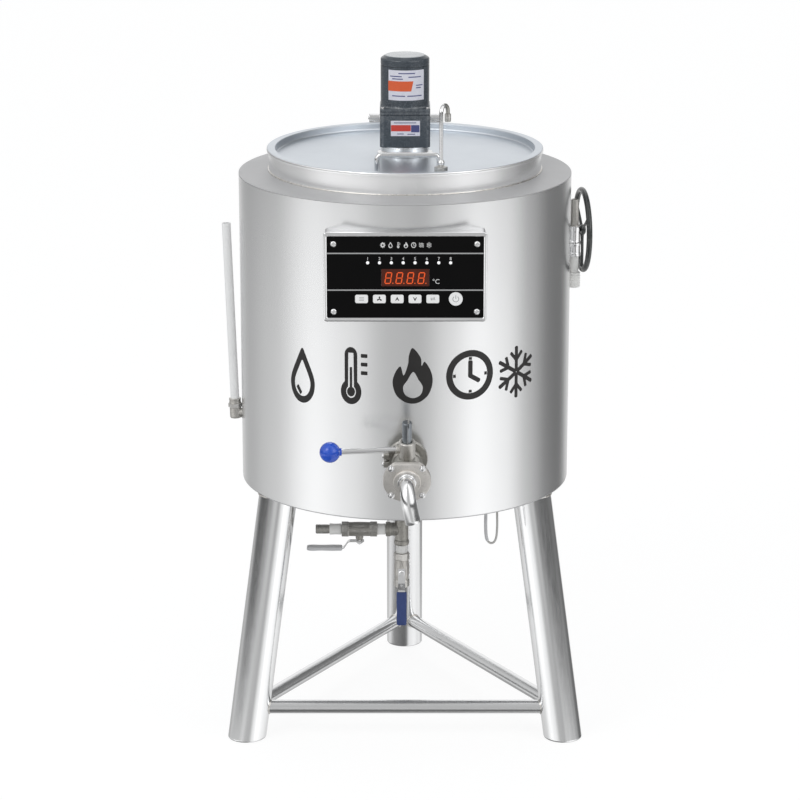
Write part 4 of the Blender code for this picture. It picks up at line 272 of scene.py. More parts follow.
def buildWear():
    # bare or dusty edges: where the surface bends outwards, broken up by noise
    tree, source, out = shaderGroup("edgeWear", {"Edge": 0.56, "Amount": 0.5}, "Mask")
    bend = node(tree, "NewGeometry").outputs["Pointiness"]
    edge = ranged(tree, bend, 0.0, 1.0, source["Edge"], sumOf(tree, "ADD", source["Edge"], 0.05))
    broken = ranged(tree, noise(tree, source["Vector"], 160), 0.3, 1.0, 0.4, 0.6)
    worn = sumOf(tree, "MULTIPLY", edge, broken)
    wire(tree, out, {"Mask": sumOf(tree, "MULTIPLY", worn, source["Amount"])})


buildGrain()
buildSmudge()
buildSpeckle()
buildWear()


def useGroup(tree, name, vector, **values):
    return node(tree, "Group", {"Vector": vector, **values}, node_tree=bpy.data.node_groups[name]).outputs


def finishOf(name, colour, rough, metal, grain, tone, spread=0.06, relief=0.00002, smudge=7.0, patch=0.06,
             speck=None, wear=None, coat=0.0, patchColour=None, shine=0.5):
    material = bpy.data.materials.new(name)
    material.use_nodes = True
    tree = material.node_tree
    place = node(tree, "TexCoord").outputs["Object"]
    scaled = node(tree, "Mapping",
                  {"Vector": place, "Scale": grain if isinstance(grain, tuple) else (grain,) * 3})
    lines = useGroup(tree, "brushedGrain", scaled, Contrast=1.4)
    patches = useGroup(tree, "smudge", place, Scale=smudge)["Mask"]
    darker, lighter = (tuple(min(c * (1 + way * tone), 1) for c in colour) for way in (-1, 1))
    tint = mixColour(tree, lines["Mask"], darker, lighter)
    patched = patchColour or tuple(c * (1 - 2 * patch) for c in colour)
    tint = mixColour(tree, sumOf(tree, "MULTIPLY", patches, 0.5), tint, patched)
    roughness = ranged(tree, lines["Mask"], rough - spread, rough + spread)
    roughness = sumOf(tree, "ADD", roughness, sumOf(tree, "MULTIPLY", patches, patch))
    height = lines["Height"]
    if speck:
        specks = useGroup(tree, "speckle", place, Scale=speck["scale"], Level=speck["level"])
        tint = mixColour(tree, sumOf(tree, "MULTIPLY", specks["Mask"], speck["share"]), tint, speck["colour"])
        height = sumOf(tree, "ADD", height, sumOf(tree, "MULTIPLY", specks["Height"], speck["depth"]))
    if wear:
        worn = useGroup(tree, "edgeWear", place, Edge=wear["edge"], Amount=wear["amount"])["Mask"]
        tint = mixColour(tree, worn, tint, wear["colour"])
    bump = node(tree, "Bump", {"Strength": 1.0, "Distance": relief, "Height": height})
    wire(tree, tree.nodes["Principled BSDF"], {
        "Base Color": tint, "Roughness": roughness, "Normal": bump, "Metallic": metal, "Coat Weight": coat,
        "Coat Roughness": 0.12, "Specular IOR Level": shine})
    return material


def glowOf(name, colour, dark, strength, scale):
    material = finishOf(name, colour, 0.35, 0.0, scale, tone=0.08)
    tree = material.node_tree
    uneven = useGroup(tree, "smudge", node(tree, "TexCoord").outputs["Object"], Scale=scale)["Mask"]
    wire(tree, tree.nodes["Principled BSDF"],
         {"Emission Color": mixColour(tree, uneven, colour, dark), "Emission Strength": strength})
    return material


steelTint = (0.79, 0.795, 0.8)
castSpeck = {"scale": 420, "level": 0.56, "share": 0.55, "colour": (0.3, 0.29, 0.27), "depth": 3.0}
castWear = {"edge": 0.54, "amount": 0.7, "colour": (0.86, 0.86, 0.85)}
paintSpeck = {"scale": 520, "level": 0.54, "share": 0.5, "colour": (0.17, 0.2, 0.235), "depth": 2.0}
paintWear = {"edge": 0.55, "amount": 0.55, "colour": (0.5, 0.52, 0.54)}
castDarkSpeck = {**castSpeck, "colour": (0.15, 0.145, 0.13)}
stemSpeck = {**castSpeck, "share": 0.3, "colour": (0.16, 0.17, 0.18)}
flangeSpeck = {**castSpeck, "share": 0.35, "colour": (0.42, 0.4, 0.37)}
lidSpeck = {"scale": 260, "level": 0.6, "share": 0.35, "colour": (0.6, 0.64, 0.7), "depth": 0.6}
vinylSpeck = {"scale": 500, "level": 0.6, "share": 0.4, "colour": (0.085, 0.125, 0.31), "depth": 1.5}
wheelSpeck = {"scale": 340, "level": 0.52, "share": 0.6, "colour": (0.085, 0.095, 0.09), "depth": 2.0}
wheelWear = {"edge": 0.56, "amount": 0.3, "colour": (0.3, 0.31, 0.3)}
labelSpeck = {"scale": 240, "level": 0.6, "share": 0.25, "colour": (0.42, 0.4, 0.6), "depth": 0}

# slot, colour, roughness, metallic, grain, tone, spread of roughness, relief, smudge, patches and extras
looks = {
    "wallSteel": ("brushed_steel", steelTint, 0.25, 1.0, (5, 5, 1400), 0.014, 0.02, 7e-7, 3.0, 0.012),
    "neckSteel": ("brushed_steel", (0.93, 0.93, 0.935), 0.25, 0.85, (5, 5, 1400), 0.014, 0.02, 7e-7, 3.0,
                  0.012),
    "shoulderSteel": ("brushed_steel", (0.56, 0.56, 0.565), 0.5, 0.45, (260, 260, 40), 0.04, 0.06, 0.00001),
    "tubeSteel": ("brushed_steel", steelTint, 0.15, 1.0, (500, 500, 9), 0.03, 0.05, 6e-6, 5.0, 0.03),
    "barSteel": ("brushed_steel", steelTint, 0.2, 1.0, (160, 160, 400), 0.03, 0.05, 6e-6, 9.0, 0.03),
    "lidSteel": ("lid_steel", (0.66, 0.7, 0.745), 0.36, 1.0, 150, 0.03, 0.06, 0.00001, 5.0, 0.05,
                 {"speck": lidSpeck}),
    "bright": ("polished_steel", (0.82, 0.825, 0.83), 0.13, 1.0, 300, 0.03, 0.04, 6e-6, 14.0, 0.05),
    "weldSteel": ("brushed_steel", (0.78, 0.77, 0.75), 0.24, 1.0, 500, 0.08, 0.08, 0.00004, 30.0, 0.08,
                  {"patchColour": (0.62, 0.56, 0.48)}),
    "cast": ("cast_steel", (0.6, 0.585, 0.555), 0.36, 1.0, 260, 0.1, 0.08, 0.00005, 40.0, 0.1,
             {"speck": castSpeck, "wear": castWear}),
    # dark cast steel; on the vent's return leg it is painted shade
    "castDark": ("cast_steel", (0.44, 0.43, 0.4), 0.4, 1.0, 260, 0.14, 0.08, 0.00006, 45.0, 0.12,
                 {"speck": castDarkSpeck, "wear": castWear}),
    "stemSteel": ("polished_steel", (0.3, 0.325, 0.35), 0.3, 1.0, 260, 0.12, 0.08, 0.00004, 45.0, 0.12,
                  {"speck": stemSpeck, "wear": castWear}),
    "flangeSteel": ("cast_steel", (0.8, 0.775, 0.74), 0.42, 0.85, 200, 0.1, 0.08, 0.00006, 38.0, 0.14,
                    {"speck": flangeSpeck}),
    "darkPaint": ("dark_paint", (0.034, 0.047, 0.062), 0.34, 0.0, 300, 0.15, 0.05, 0.00006, 22.0, 0.08,
                  {"speck": paintSpeck, "wear": paintWear, "coat": 0.5}),
    # the motor's top: the dark paint made pale, a painted highlight for the light that falls on its top
    "paintTop": ("dark_paint", (0.4, 0.43, 0.45), 0.25, 0.0, 300, 0.12, 0.05, 0.00004, 22.0, 0.1,
                 {"speck": paintSpeck, "coat": 0.5}),
    "blackFace": ("key_plastic", (0.0016, 0.0016, 0.0018), 0.32, 0.0, 500, 0.25, 0.05, 4e-6, 12.0, 0.04,
                  {"patchColour": (0.0035, 0.003, 0.003), "shine": 0.1}),
    "housingSteel": ("brushed_steel", (0.6, 0.6, 0.605), 0.42, 1.0, (9, 500, 500), 0.03, 0.05, 6e-6, 8.0),
    "displayGlass": ("display_glass", (0.085, 0.018, 0.01), 0.25, 0.0, 900, 0.2, 0.04, 4e-6, 60.0, 0.05,
                     {"patchColour": (0.12, 0.03, 0.018), "coat": 0.05, "shine": 0.15}),
    "printWhite": ("key_plastic", (0.8, 0.8, 0.79), 0.5, 0.0, 900, 0.05, 0.05, 4e-6, 80.0),
    "printGrey": ("key_plastic", (0.42, 0.42, 0.42), 0.45, 0.0, 900, 0.08, 0.05, 4e-6, 80.0),
    "printBlack": ("brushed_steel", (0.009, 0.008, 0.008), 0.42, 0.0, 500, 0.2, 0.06, 6e-6, 20.0, 0.06,
                   {"patchColour": (0.02, 0.018, 0.017)}),
    "keyPlastic": ("key_plastic", (0.97, 0.97, 0.965), 0.38, 0.0, 700, 0.02, 0.05, 0.000012, 60.0, 0.02),
    "bluePlastic": ("blue_plastic", (0.012, 0.105, 0.7), 0.2, 0.0, 120, 0.1, 0.05, 0.00001, 70.0, 0.06,
                    {"patchColour": (0.006, 0.035, 0.36), "coat": 0.4}),
    "blueVinyl": ("blue_vinyl", (0.034, 0.062, 0.205), 0.46, 0.0, 260, 0.14, 0.06, 0.00003, 60.0, 0.08,
                  {"speck": vinylSpeck}),
    "greyVinyl": ("grey_vinyl", (0.66, 0.66, 0.67), 0.5, 0.0, 260, 0.08, 0.06, 0.00003, 60.0, 0.08),
    "whiteTube": ("white_tube", (0.95, 0.95, 0.945), 0.26, 0.0, (120, 120, 8), 0.03, 0.05, 0.00001, 12.0,
                  0.04, {"patchColour": (0.86, 0.86, 0.85)}),
    "tape": ("cast_steel", (0.92, 0.915, 0.89), 0.55, 0.0, (40, 500, 500), 0.06, 0.05, 0.00008, 60.0, 0.06),
    "darkWheel": ("dark_wheel", (0.022, 0.026, 0.026), 0.3, 0.0, 260, 0.2, 0.07, 0.00004, 40.0, 0.1,
                  {"speck": wheelSpeck, "wear": wheelWear, "coat": 0.5}),
    "rubber": ("gasket_rubber", (0.62, 0.62, 0.58), 0.6, 0.0, 300, 0.06, 0.05, 0.00002, 20.0, 0.06),
    "leadSheath": ("cable_jacket", (0.55, 0.54, 0.52), 0.5, 0.0, (300, 300, 60), 0.08, 0.06, 0.00002, 90.0,
                   0.08),
    "wool": ("", (0.62, 0.5, 0.26), 0.9, 0.0, (90, 90, 400), 0.2, 0.04, 0.0006, 12.0, 0.05),
    "copperRod": ("", (0.5, 0.47, 0.44), 0.35, 1.0, 200, 0.1, 0.08, 0.00003, 20.0, 0.1),
    "labelWhite": ("key_plastic", (0.78, 0.78, 0.86), 0.42, 0.0, 500, 0.05, 0.05, 0.00001, 90.0, 0.05,
                   {"speck": labelSpeck}),
    "labelOrange": ("key_plastic", (0.78, 0.125, 0.035), 0.42, 0.0, 500, 0.08, 0.05, 0.00001, 90.0),
    "labelRed": ("key_plastic", (0.66, 0.06, 0.045), 0.42, 0.0, 500, 0.08, 0.05, 0.00001, 90.0),
    "labelBlue": ("key_plastic", (0.075, 0.085, 0.24), 0.42, 0.0, 500, 0.1, 0.05, 0.00001, 90.0),
}
glows = {"digitGlow": ("display_glass", (0.72, 0.085, 0.008), (0.55, 0.055, 0.006), 0.62, 500),
         "lampGlow": ("key_plastic", (0.9, 0.9, 0.9), (0.75, 0.76, 0.78), 0.45, 300)}

finishes, slots = {}, {}
for name, (slots[name], *row) in looks.items():
    extras = row.pop() if isinstance(row[-1], dict) else {}
    finishes[name] = finishOf(name, *row, **extras)
for name, (slots[name], *row) in glows.items():
    finishes[name] = glowOf(name, *row)
print("finishes are made:", len(finishes))

# ---- mesh making ---------------------------------------------------------------------------------


def fromAxis(spot):
    return math.hypot(spot.x, spot.y - tank.translation.y)


def circle(radius, steps, x=0.0, y=0.0):
    angles = [math.tau * step / steps for step in range(steps)]
    return [(x + radius * math.cos(a), y + radius * math.sin(a)) for a in angles]


def softCorners(points, closed, steps=5):
    # points are (u, v, radius): a corner with a radius becomes an arc
    made = []
    count = len(points)
    for order, (u, v, radius) in enumerate(points):
        if radius <= 0 or (not closed and order in (0, count - 1)):
            made.append((u, v))
            continue
        here = Vector((u, v))
        toBefore = Vector(points[order - 1][:2]) - here
        toAfter = Vector(points[(order + 1) % count][:2]) - here
        half = toBefore.angle(toAfter) / 2
        reach = min(radius / math.tan(half), 0.49 * toBefore.length, 0.49 * toAfter.length)
        first = here + toBefore.normalized() * reach
        last = here + toAfter.normalized() * reach
        for step in range(steps + 1):
            t = step / steps
            a, b, c = (1 - t) ** 2, 2 * math.sin(half) * t * (1 - t), t * t
            made.append(tuple((first * a + here * b + last * c) / (a + b + c)))
    return heldEnds(made, closed)


def heldEnds(points, closed, hold=0.0007, shortest=0.005):
    # extra points near the ends of long straights keep their shading flat beside the rounded corners
    made = []
    for order, (u, v) in enumerate(points):
        made.append((u, v))
        nextU, nextV = points[(order + 1) % len(points)]
        long = math.hypot(nextU - u, nextV - v)
        if long > shortest and (closed or order < len(points) - 1):
            for share in (hold / long, 1 - hold / long):
                made.append((u + (nextU - u) * share, v + (nextV - v) * share))
    return made


def stitch(form, low, high, mark):
    count = len(max(low, high, key=len))
    for step in range(count):
        after = (step + 1) % count
        if len(low) == 1:
            corners = (low[0], high[after], high[step])
        elif len(high) == 1:
            corners = (low[step], low[after], high[0])
        else:
            corners = (low[step], low[after], high[after], high[step])
        form.faces.new(corners).material_index = mark


def lathe(form, profile, steps, where=Matrix(), mark=0):
    # a profile of (radius, height) turned about Z, from the last point back to the first
    rings = []
    for radius, height in profile:
        round = circle(radius, steps)[:1 if radius < 1e-6 else steps]
        rings.append([form.verts.new(where @ Vector((x, y, height))) for x, y in round])
    for low, high in zip(rings, rings[1:] + rings[:1]):
        if len(low) > 1 or len(high) > 1:
            stitch(form, low, high, mark)


def turned(form, points, steps, where=Matrix(), mark=0, soft=5):
    # a softened profile: closed where it is a ring, open where it starts on the axis
    lathe(form, softCorners(points, points[0][0] > 0, soft), steps, where, mark)


def rod(form, radius, low, high, edge, steps, where=Matrix(), mark=0):
    turned(form, [(0, low, 0), (radius, low, edge), (radius, high, edge), (0, high, 0)], steps, where, mark)


def bush(inner, outer, low, high, edge=0.0006):
    return [(inner, low, 0), (outer, low, edge), (outer, high, edge), (inner, high, 0)]


def stack(form, rings, where=Matrix(), mark=0, loop=False):
    made = [[form.verts.new(where @ Vector(point)) for point in ring] for ring in rings]
    for low, high in zip(made, made[1:]):
        stitch(form, low, high, mark)
    if loop:
        stitch(form, made[-1], made[0], mark)
    else:
        form.faces.new(made[0][::-1]).material_index = mark
        form.faces.new(made[-1]).material_index = mark


def sweep(form, path, radius, sides, where=Matrix(), mark=0, hint=None, bore=None):
    points = [Vector(point) for point in path]
    count = len(points)
    radii = radius if isinstance(radius, list) else [radius] * count
    tangents = [(points[min(order + 1, count - 1)] - points[max(order - 1, 0)]).normalized()
                for order in range(count)]
    side = Vector(hint).cross(tangents[0]).normalized() if hint else tangents[0].orthogonal().normalized()

    def ringsOf(radiusList):
        rings, across = [], side
        for point, tangent, reach in zip(points, tangents, radiusList):
            across = Vector(hint).cross(tangent) if hint else across - across.dot(tangent) * tangent
            across.normalize()
            up = tangent.cross(across)
            rings.append([point + x * across + y * up for x, y in circle(reach, sides)])
        return rings

    if bore:
        stack(form, ringsOf(radii) + ringsOf([bore] * count)[::-1], where, mark, True)
    else:
        stack(form, ringsOf(radii), where, mark)


def arcOf(centre, first, second, radius, degrees, steps):
    angles = [math.radians(degrees) * step / steps for step in range(steps + 1)]
    return [Vector(centre) + radius * (math.cos(a) * Vector(first) + math.sin(a) * Vector(second))
            for a in angles]


def splinePoint(a, b, c, d, t):
    return 0.5 * (2 * b + (c - a) * t + (2 * a - 5 * b + 4 * c - d) * t * t
                  + (3 * b - a - 3 * c + d) * t ** 3)


def roundedOutline(width, height, corner, inset=0.0, steps=8):
    points = []
    for order, (side, level) in enumerate(((1, 1), (-1, 1), (-1, -1), (1, -1))):
        slide = min(corner - inset, 0)
        x, y = side * (width / 2 - corner + slide), level * (height / 2 - corner + slide)
        reach = max(corner - inset, corner * 0.04)
        for step in range(steps + 1):
            angle = math.pi / 2 * (order + step / steps)
            points.append((x + reach * math.cos(angle), y + reach * math.sin(angle)))
    return points


def outlineRings(width, height, corner, levels, steps=8):
    return [[(x, y, level) for x, y in roundedOutline(width, height, corner, inset, steps)]
            for inset, level in levels]


def roundedSlab(form, width, height, corner, low, high, edge, where=Matrix(), mark=0, steps=8):
    levels = [(edge + 0.0006, low)]
    for step in range(5):
        angle = math.pi / 2 * step / 4
        levels.append((edge * (1 - math.sin(angle)), low + edge * (1 - math.cos(angle))))
    levels.append((0, low + edge + (high - low - 2 * edge) * 0.12))
    levels += [(inset, low + high - level) for inset, level in levels[::-1]]
    stack(form, outlineRings(width, height, corner, levels, steps), where, mark)


def hexagon(form, radius, low, high, edge, where):
    # a nut: chamfered where its corners meet the two faces
    levels = ((edge, low), (0, low + edge * 0.6), (0, high - edge * 0.6), (edge, high))
    stack(form, [[(x, y, level) for x, y in circle(radius - inset, 6)] for inset, level in levels], where)


def toMesh(name, form):
    bmesh.ops.recalc_face_normals(form, faces=form.faces[:])
    data = bpy.data.meshes.new(name)
    form.to_mesh(data)
    form.free()
    return data


def evaluatedMesh(made):
    return bpy.data.meshes.new_from_object(made.evaluated_get(bpy.context.evaluated_depsgraph_get()))


def markFaces(form, test):
    # the second finish goes where the middle of a face passes the test
    for face in form.faces:
        face.material_index = int(test(face.calc_center_median()))


def smoothed(data, sharp):
    data.shade_smooth()
    data.set_sharp_from_angle(angle=math.radians(sharp))


def cutAway(made, cutter):
    tool = placed(made.name + "Cutter", toMesh(made.name + "Cutter", cutter))
    cut = made.modifiers.new("cut", "BOOLEAN")
    cut.operation, cut.solver, cut.object = "DIFFERENCE", "EXACT", tool
    data = evaluatedMesh(made)
    made.modifiers.clear()
    made.data = data
    bpy.data.objects.remove(tool, do_unlink=True)


def dress(made, body, replaced=""):
    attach(made, body)
    if replaced:
        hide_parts(replaced)
    return made


def finishPiece(name, form, wanted, replaced="", body="machine", sharp=32, cutter=None):
    # the wanted finishes are named in one string, in the order of their material indices
    made = placed(name, toMesh(name, form))
    for look in wanted.split():
        made.data.materials.append(finishes[look])
    smoothed(made.data, sharp)
    if cutter:
        cutAway(made, cutter)
    return dress(made, body, replaced)


def turnedPiece(name, rows, wanted, replaced="", body="machine"):
    # each row is a profile, its steps round, where it stands, and maybe its finish and its steps in a corner
    form = bmesh.new()
    for row in rows:
        turned(form, *row)
    return finishPiece(name, form, wanted, replaced, body)


# ---- patterns made with Geometry Nodes -----------------------------------------------------------


def patternTree(name, inputs):
    rows = [("Geometry", "Geometry")] + inputs + [("Material", "Material")]
    return newTree(name, "GeometryNodeTree", rows, rows[:1])


def closeTree(tree, source, out, geometry):
    realize = node(tree, "GeometryNodeRealizeInstances", {0: geometry})
    wire(tree, out,
         {0: node(tree, "GeometryNodeSetMaterial", {"Geometry": realize, "Material": source["Material"]})})
    return tree


def copiesOf(tree, source, points, **sockets):
    part = node(tree, "GeometryNodeObjectInfo", {"Object": source["Part"]}).outputs["Geometry"]
    return node(tree, "GeometryNodeInstanceOnPoints", {"Points": points, "Instance": part, **sockets})


def buildRowTree():
    # copies of a part in a straight row
    tree, source, out = patternTree(
        "rowOfParts", [("Part", "Object"), ("Count", "Int", 4), ("Start", "Vector"), ("Step", "Vector")])
    line = node(tree, "GeometryNodeMeshLine",
                {"Count": source["Count"], "Start Location": source["Start"], "Offset": source["Step"]})
    return closeTree(tree, source, out, copiesOf(tree, source, line))


def buildGridTree():
    # copies of a part at the corners of a grid
    tree, source, out = patternTree("gridOfParts", [
        ("Part", "Object"), ("Columns", "Int", 2), ("Rows", "Int", 2), ("Width", "Float", 0.1),
        ("Height", "Float", 0.1), ("Centre", "Vector")])
    grid = node(tree, "GeometryNodeMeshGrid", {"Vertices X": source["Columns"], "Vertices Y": source["Rows"],
                                               "Size X": source["Width"], "Size Y": source["Height"]})
    moved = node(tree, "GeometryNodeTranslateInstances",
                 {"Instances": copiesOf(tree, source, grid), "Translation": source["Centre"]})
    return closeTree(tree, source, out, moved)


def buildRingTree():
    # copies of a part turned about Z, each moved out by the radius
    tree, source, out = patternTree("ringOfParts", [
        ("Part", "Object"), ("Count", "Int", 3), ("Radius", "Float", 0.0), ("Start Angle", "Float", 0.0)])
    points = node(tree, "GeometryNodeMeshLine", {"Count": source["Count"], "Offset": (0, 0, 0)})
    share = sumOf(tree, "DIVIDE", math.tau, source["Count"])
    angle = node(tree, "Math", {0: node(tree, "GeometryNodeInputIndex"), 1: share, 2: source["Start Angle"]},
                 operation="MULTIPLY_ADD")
    copies = copiesOf(tree, source, points, Rotation=node(tree, "CombineXYZ", {"Z": angle}))
    moved = node(tree, "GeometryNodeTranslateInstances", {
        "Instances": copies, "Translation": node(tree, "CombineXYZ", {"X": source["Radius"]}),
        "Local Space": True})
    return closeTree(tree, source, out, moved)


def beadAlong(tree, source, sides, **sockets):
    bead = node(tree, "GeometryNodeCurvePrimitiveCircle", {"Resolution": sides, "Radius": source["Bead"]})
    tube = node(tree, "GeometryNodeCurveToMesh", {"Profile Curve": bead, "Fill Caps": True, **sockets})
    return node(tree, "GeometryNodeSetShadeSmooth", {0: tube})


def buildThreadTree():
    # a screw thread: a bead wound round Z
    tree, source, out = patternTree("screwThread", [
        ("Turns", "Float", 4.0), ("Radius", "Float", 0.01), ("Length", "Float", 0.02),
        ("Bead", "Float", 0.0008)])
    spiral = node(tree, "GeometryNodeCurveSpiral", {
        "Resolution": 28, "Rotations": source["Turns"], "Start Radius": source["Radius"],
        "End Radius": source["Radius"], "Height": source["Length"]})
    return closeTree(tree, source, out, beadAlong(tree, source, 8, Curve=spiral))


def buildBeadTree():
    # a weld bead along a line, with the scale-like ripple of a hand-laid weld
    tree, source, out = patternTree("weldBead", [
        ("Bead", "Float", 0.0016), ("Pitch", "Float", 0.002), ("Ripple", "Float", 0.18),
        ("Seed", "Float", 1.0)])
    line = node(tree, "GeometryNodeMeshToCurve", {"Mesh": source["Geometry"]})
    even = node(tree, "GeometryNodeResampleCurve",
                {"Curve": line, "Length": sumOf(tree, "DIVIDE", source["Pitch"], 3)}, mode="LENGTH")
    uneven = node(tree, "TexNoise", {"Scale": 260, "W": source["Seed"]}, noise_dimensions="4D")
    swell = ranged(tree, uneven, sumOf(tree, "SUBTRACT", 1.0, source["Ripple"]), 1.0, 0.3, 0.7)
    return closeTree(tree, source, out, beadAlong(tree, source, 10, Curve=even, Scale=swell))


rowTree, gridTree, ringTree = buildRowTree(), buildGridTree(), buildRingTree()
threadTree, beadTree = buildThreadTree(), buildBeadTree()


def growPattern(name, tree, values, look, where=Matrix(), body="machine", sketch=None, sharp=32):
    holder = placed(name, sketch or bpy.data.meshes.new(name))
    step = holder.modifiers.new("pattern", "NODES")
    step.node_group = tree
    sockets = {item.name: item.identifier for item in tree.interface.items_tree
               if item.item_type == "SOCKET" and item.in_out == "INPUT"}
    for label, value in {**values, "Material": finishes[look]}.items():
        step[sockets[label]] = value
    data = evaluatedMesh(holder)
    holder.modifiers.clear()
    holder.data = data
    data.transform(where)
    form = bmesh.new()
    form.from_mesh(data)
    bmesh.ops.recalc_face_normals(form, faces=form.faces[:])
    form.to_mesh(data)
    form.free()
    smoothed(data, sharp)
    dress(holder, body)


def repeated(name, form, tree, values, look, where, body="machine"):
    # a pattern of one loose part, which goes once the pattern is made
    part = placed(name + "Part", toMesh(name + "Part", form))
    growPattern(name, tree, {"Part": part, **values}, look, where, body)
    bpy.data.objects.remove(part, do_unlink=True)


def weldAlong(name, points, bead, seed, body="machine", pitch=0.0022, loop=True):
    sketch = bpy.data.meshes.new(name + "Line")
    last = len(points) - 1
    edges = [(order, order + 1) for order in range(last)] + ([(last, 0)] if loop else [])
    sketch.from_pydata([tuple(tank @ Vector(point)) for point in points], edges, [])
    values = {"Bead": bead, "Pitch": pitch, "Ripple": 0.22, "Seed": seed}
    growPattern(name, beadTree, values, "weldSteel", body=body, sketch=sketch, sharp=60)


print("patterns are ready")

# ---- tank ----------------------------------------------------------------------------------------

tankSizes = {"radius": 0.3, "foot": 0.46, "wallFoot": 0.462, "wallTop": 1.027, "sheet": 0.0015,
             "neck": 0.2455, "rim": 1.0664, "steps": 192, "potFloor": 0.59, "potCorner": 0.012,
             "potFall": 0.035, "potHole": 0.0192, "edge": 0.0005, "weld": 0.0016}


def buildTank():
    radius, sheet, top, neck, low, steps = pick(tankSizes, "radius sheet wallTop neck foot steps")
    wallFoot, wallHead = tankSizes["wallFoot"], top - 0.0018
    levels = [wallFoot + (wallHead - wallFoot) * step / 6 for step in range(7)]
    form = bmesh.new()
    lathe(form, [(radius, level) for level in levels] + [(radius - sheet, level) for level in levels[::-1]],
          steps, tank)
    finishPiece("tankWall", form, "wallSteel", "outer_shell")
    shoulder = [(radius, top - sheet, 0), (radius, top, 0.0012), (neck + 0.0003, top + 0.005, 0),
                (neck + 0.0003, top + 0.0035, 0), (radius - sheet, top - sheet, 0)]
    turnedPiece("tankShoulder", [(shoulder, steps, tank)], "shoulderSteel", "shoulder_ring")
    bottom = [(0, low, 0), (radius - 0.0002, low, 0.0008), (radius - 0.0002, low + 0.0019, 0.0004),
              (0, low + 0.0017, 0)]
    turnedPiece("tankBottom", [(bottom, steps, tank)], "shoulderSteel", "bottom_plate")
    weldAlong("neckWeld", [(x, y, top + 0.0054) for x, y in circle(neck + 0.0008, 120)], tankSizes["weld"],
              seed=3.0, pitch=0.0028)
    seam = [(0, radius - 0.0002, level / 1000) for level in range(468, 1018, 10)]
    weldAlong("wallSeam", seam, 0.0012, loop=False, seed=5.0, pitch=0.003)


def buildPot():
    neck, sheet, rim, floor, corner, edge = pick(tankSizes, "neck sheet rim potFloor potCorner edge")
    inner = neck - sheet
    form = bmesh.new()
    turned(form, [(0, floor - sheet, 0), (neck, floor - sheet, corner + sheet), (neck, rim, edge),
                  (inner, rim, edge), (inner, floor, corner), (0, floor, 0)], 160, soft=6)
    for vertex in form.verts:
        if vertex.co.z < rim - 0.004:
            vertex.co.z += tankSizes["potFall"] * vertex.co.y
    form.transform(tank)
    markFaces(form, lambda spot: fromAxis(spot) > inner + 0.0008)
    cutter = bmesh.new()
    rod(cutter, tankSizes["potHole"], 0, 0.12, 0, 48, outlet @ backward)
    finishPiece("milkPot", form, "lidSteel neckSteel", "inner_pot", cutter=cutter)


legSizes = {"radius": 0.035, "head": 0.2645, "foot": 0.3357, "edge": 0.003, "height": 0.46, "bar": 0.0125,
            "barZ": 0.0565, "barStart": 0.031, "weldZ": 0.459}
legAngles = {"leg_front_left": -150, "leg_front_right": -30, "leg_rear": 90}
barLegs = {"tie_bar_front": ("leg_front_left", "leg_front_right"),
           "tie_bar_left": ("leg_front_left", "leg_rear"),
           "tie_bar_right": ("leg_front_right", "leg_rear")}
lean = math.atan((legSizes["foot"] - legSizes["head"]) / legSizes["height"])
upward = Vector((0, 0, 1))


def outwardAt(degrees):
    angle = math.radians(degrees)
    return Vector((math.cos(angle), math.sin(angle), 0))


def legCentre(degrees, level):
    return outwardAt(degrees) * (legSizes["foot"] - math.tan(lean) * level) + level * upward


def legRing(degrees, radius, level, sides=64):
    outward, centre = outwardAt(degrees), legCentre(degrees, level)
    sideways = Vector((-outward.y, outward.x, 0))
    return [centre + x / math.cos(lean) * outward + y * sideways for x, y in circle(radius, sides)]


def barWeld(start, way, across, leg):
    # the line in which a bar's skin meets the leg's
    degrees = legAngles[leg]
    foot = outwardAt(degrees) * legSizes["foot"]
    axis = (outwardAt(degrees) * legSizes["head"] + legSizes["height"] * upward - foot).normalized()
    loop = []
    for x, y in circle(legSizes["bar"] * 1.02, 56):
        spot = start + x * across + y * upward
        flat = (spot - foot) - axis * (spot - foot).dot(axis)
        slide = way - axis * way.dot(axis)
        a, b, c = slide.dot(slide), flat.dot(slide), flat.dot(flat) - legSizes["radius"] ** 2
        loop.append(spot + way * ((-b + math.sqrt(b * b - a * c)) / a))
    return loop


def buildStand():
    radius, edge = legSizes["radius"], legSizes["edge"]
    for order, (name, degrees) in enumerate(legAngles.items()):
        rings = []
        for step in range(6):
            angle = math.pi / 2 * step / 5
            rings.append(legRing(degrees, radius - edge * (1 - math.sin(angle)),
                                 edge * (1 - math.cos(angle))))
        rings += [legRing(degrees, radius, level) for level in (0.0042, 0.12, 0.24, 0.36, 0.4597)]
        form = bmesh.new()
        stack(form, rings, tank)
        finishPiece(name.replace("_", "") + "Tube", form, "tubeSteel", name)
        weldAlong(f"legWeld{order}", legRing(degrees, radius + 0.0006, legSizes["weldZ"], 72),
                  tankSizes["weld"], seed=order + 7.0)
    for order, (name, legs) in enumerate(barLegs.items()):
        first, second = (legCentre(legAngles[leg], legSizes["barZ"]) for leg in legs)
        along = (second - first).normalized()
        run = second - first - along * 2 * legSizes["barStart"]
        form = bmesh.new()
        sweep(form, [first + along * legSizes["barStart"] + run * share / 8 for share in range(9)],
              legSizes["bar"], 40, tank)
        finishPiece(name.replace("_", "") + "Tube", form, "barSteel", name)
        across = along.cross(upward)
        for end, (leg, start, way) in enumerate(((legs[0], first, along), (legs[1], second, -along))):
            weldAlong(f"barWeld{order}{end}", barWeld(start, way, across, leg), 0.0017,
                      seed=order * 2 + end + 11.0)


buildTank()
buildPot()
buildStand()
print("tank, pot and stand are built")

# ---- control box ---------------------------------------------------------------------------------

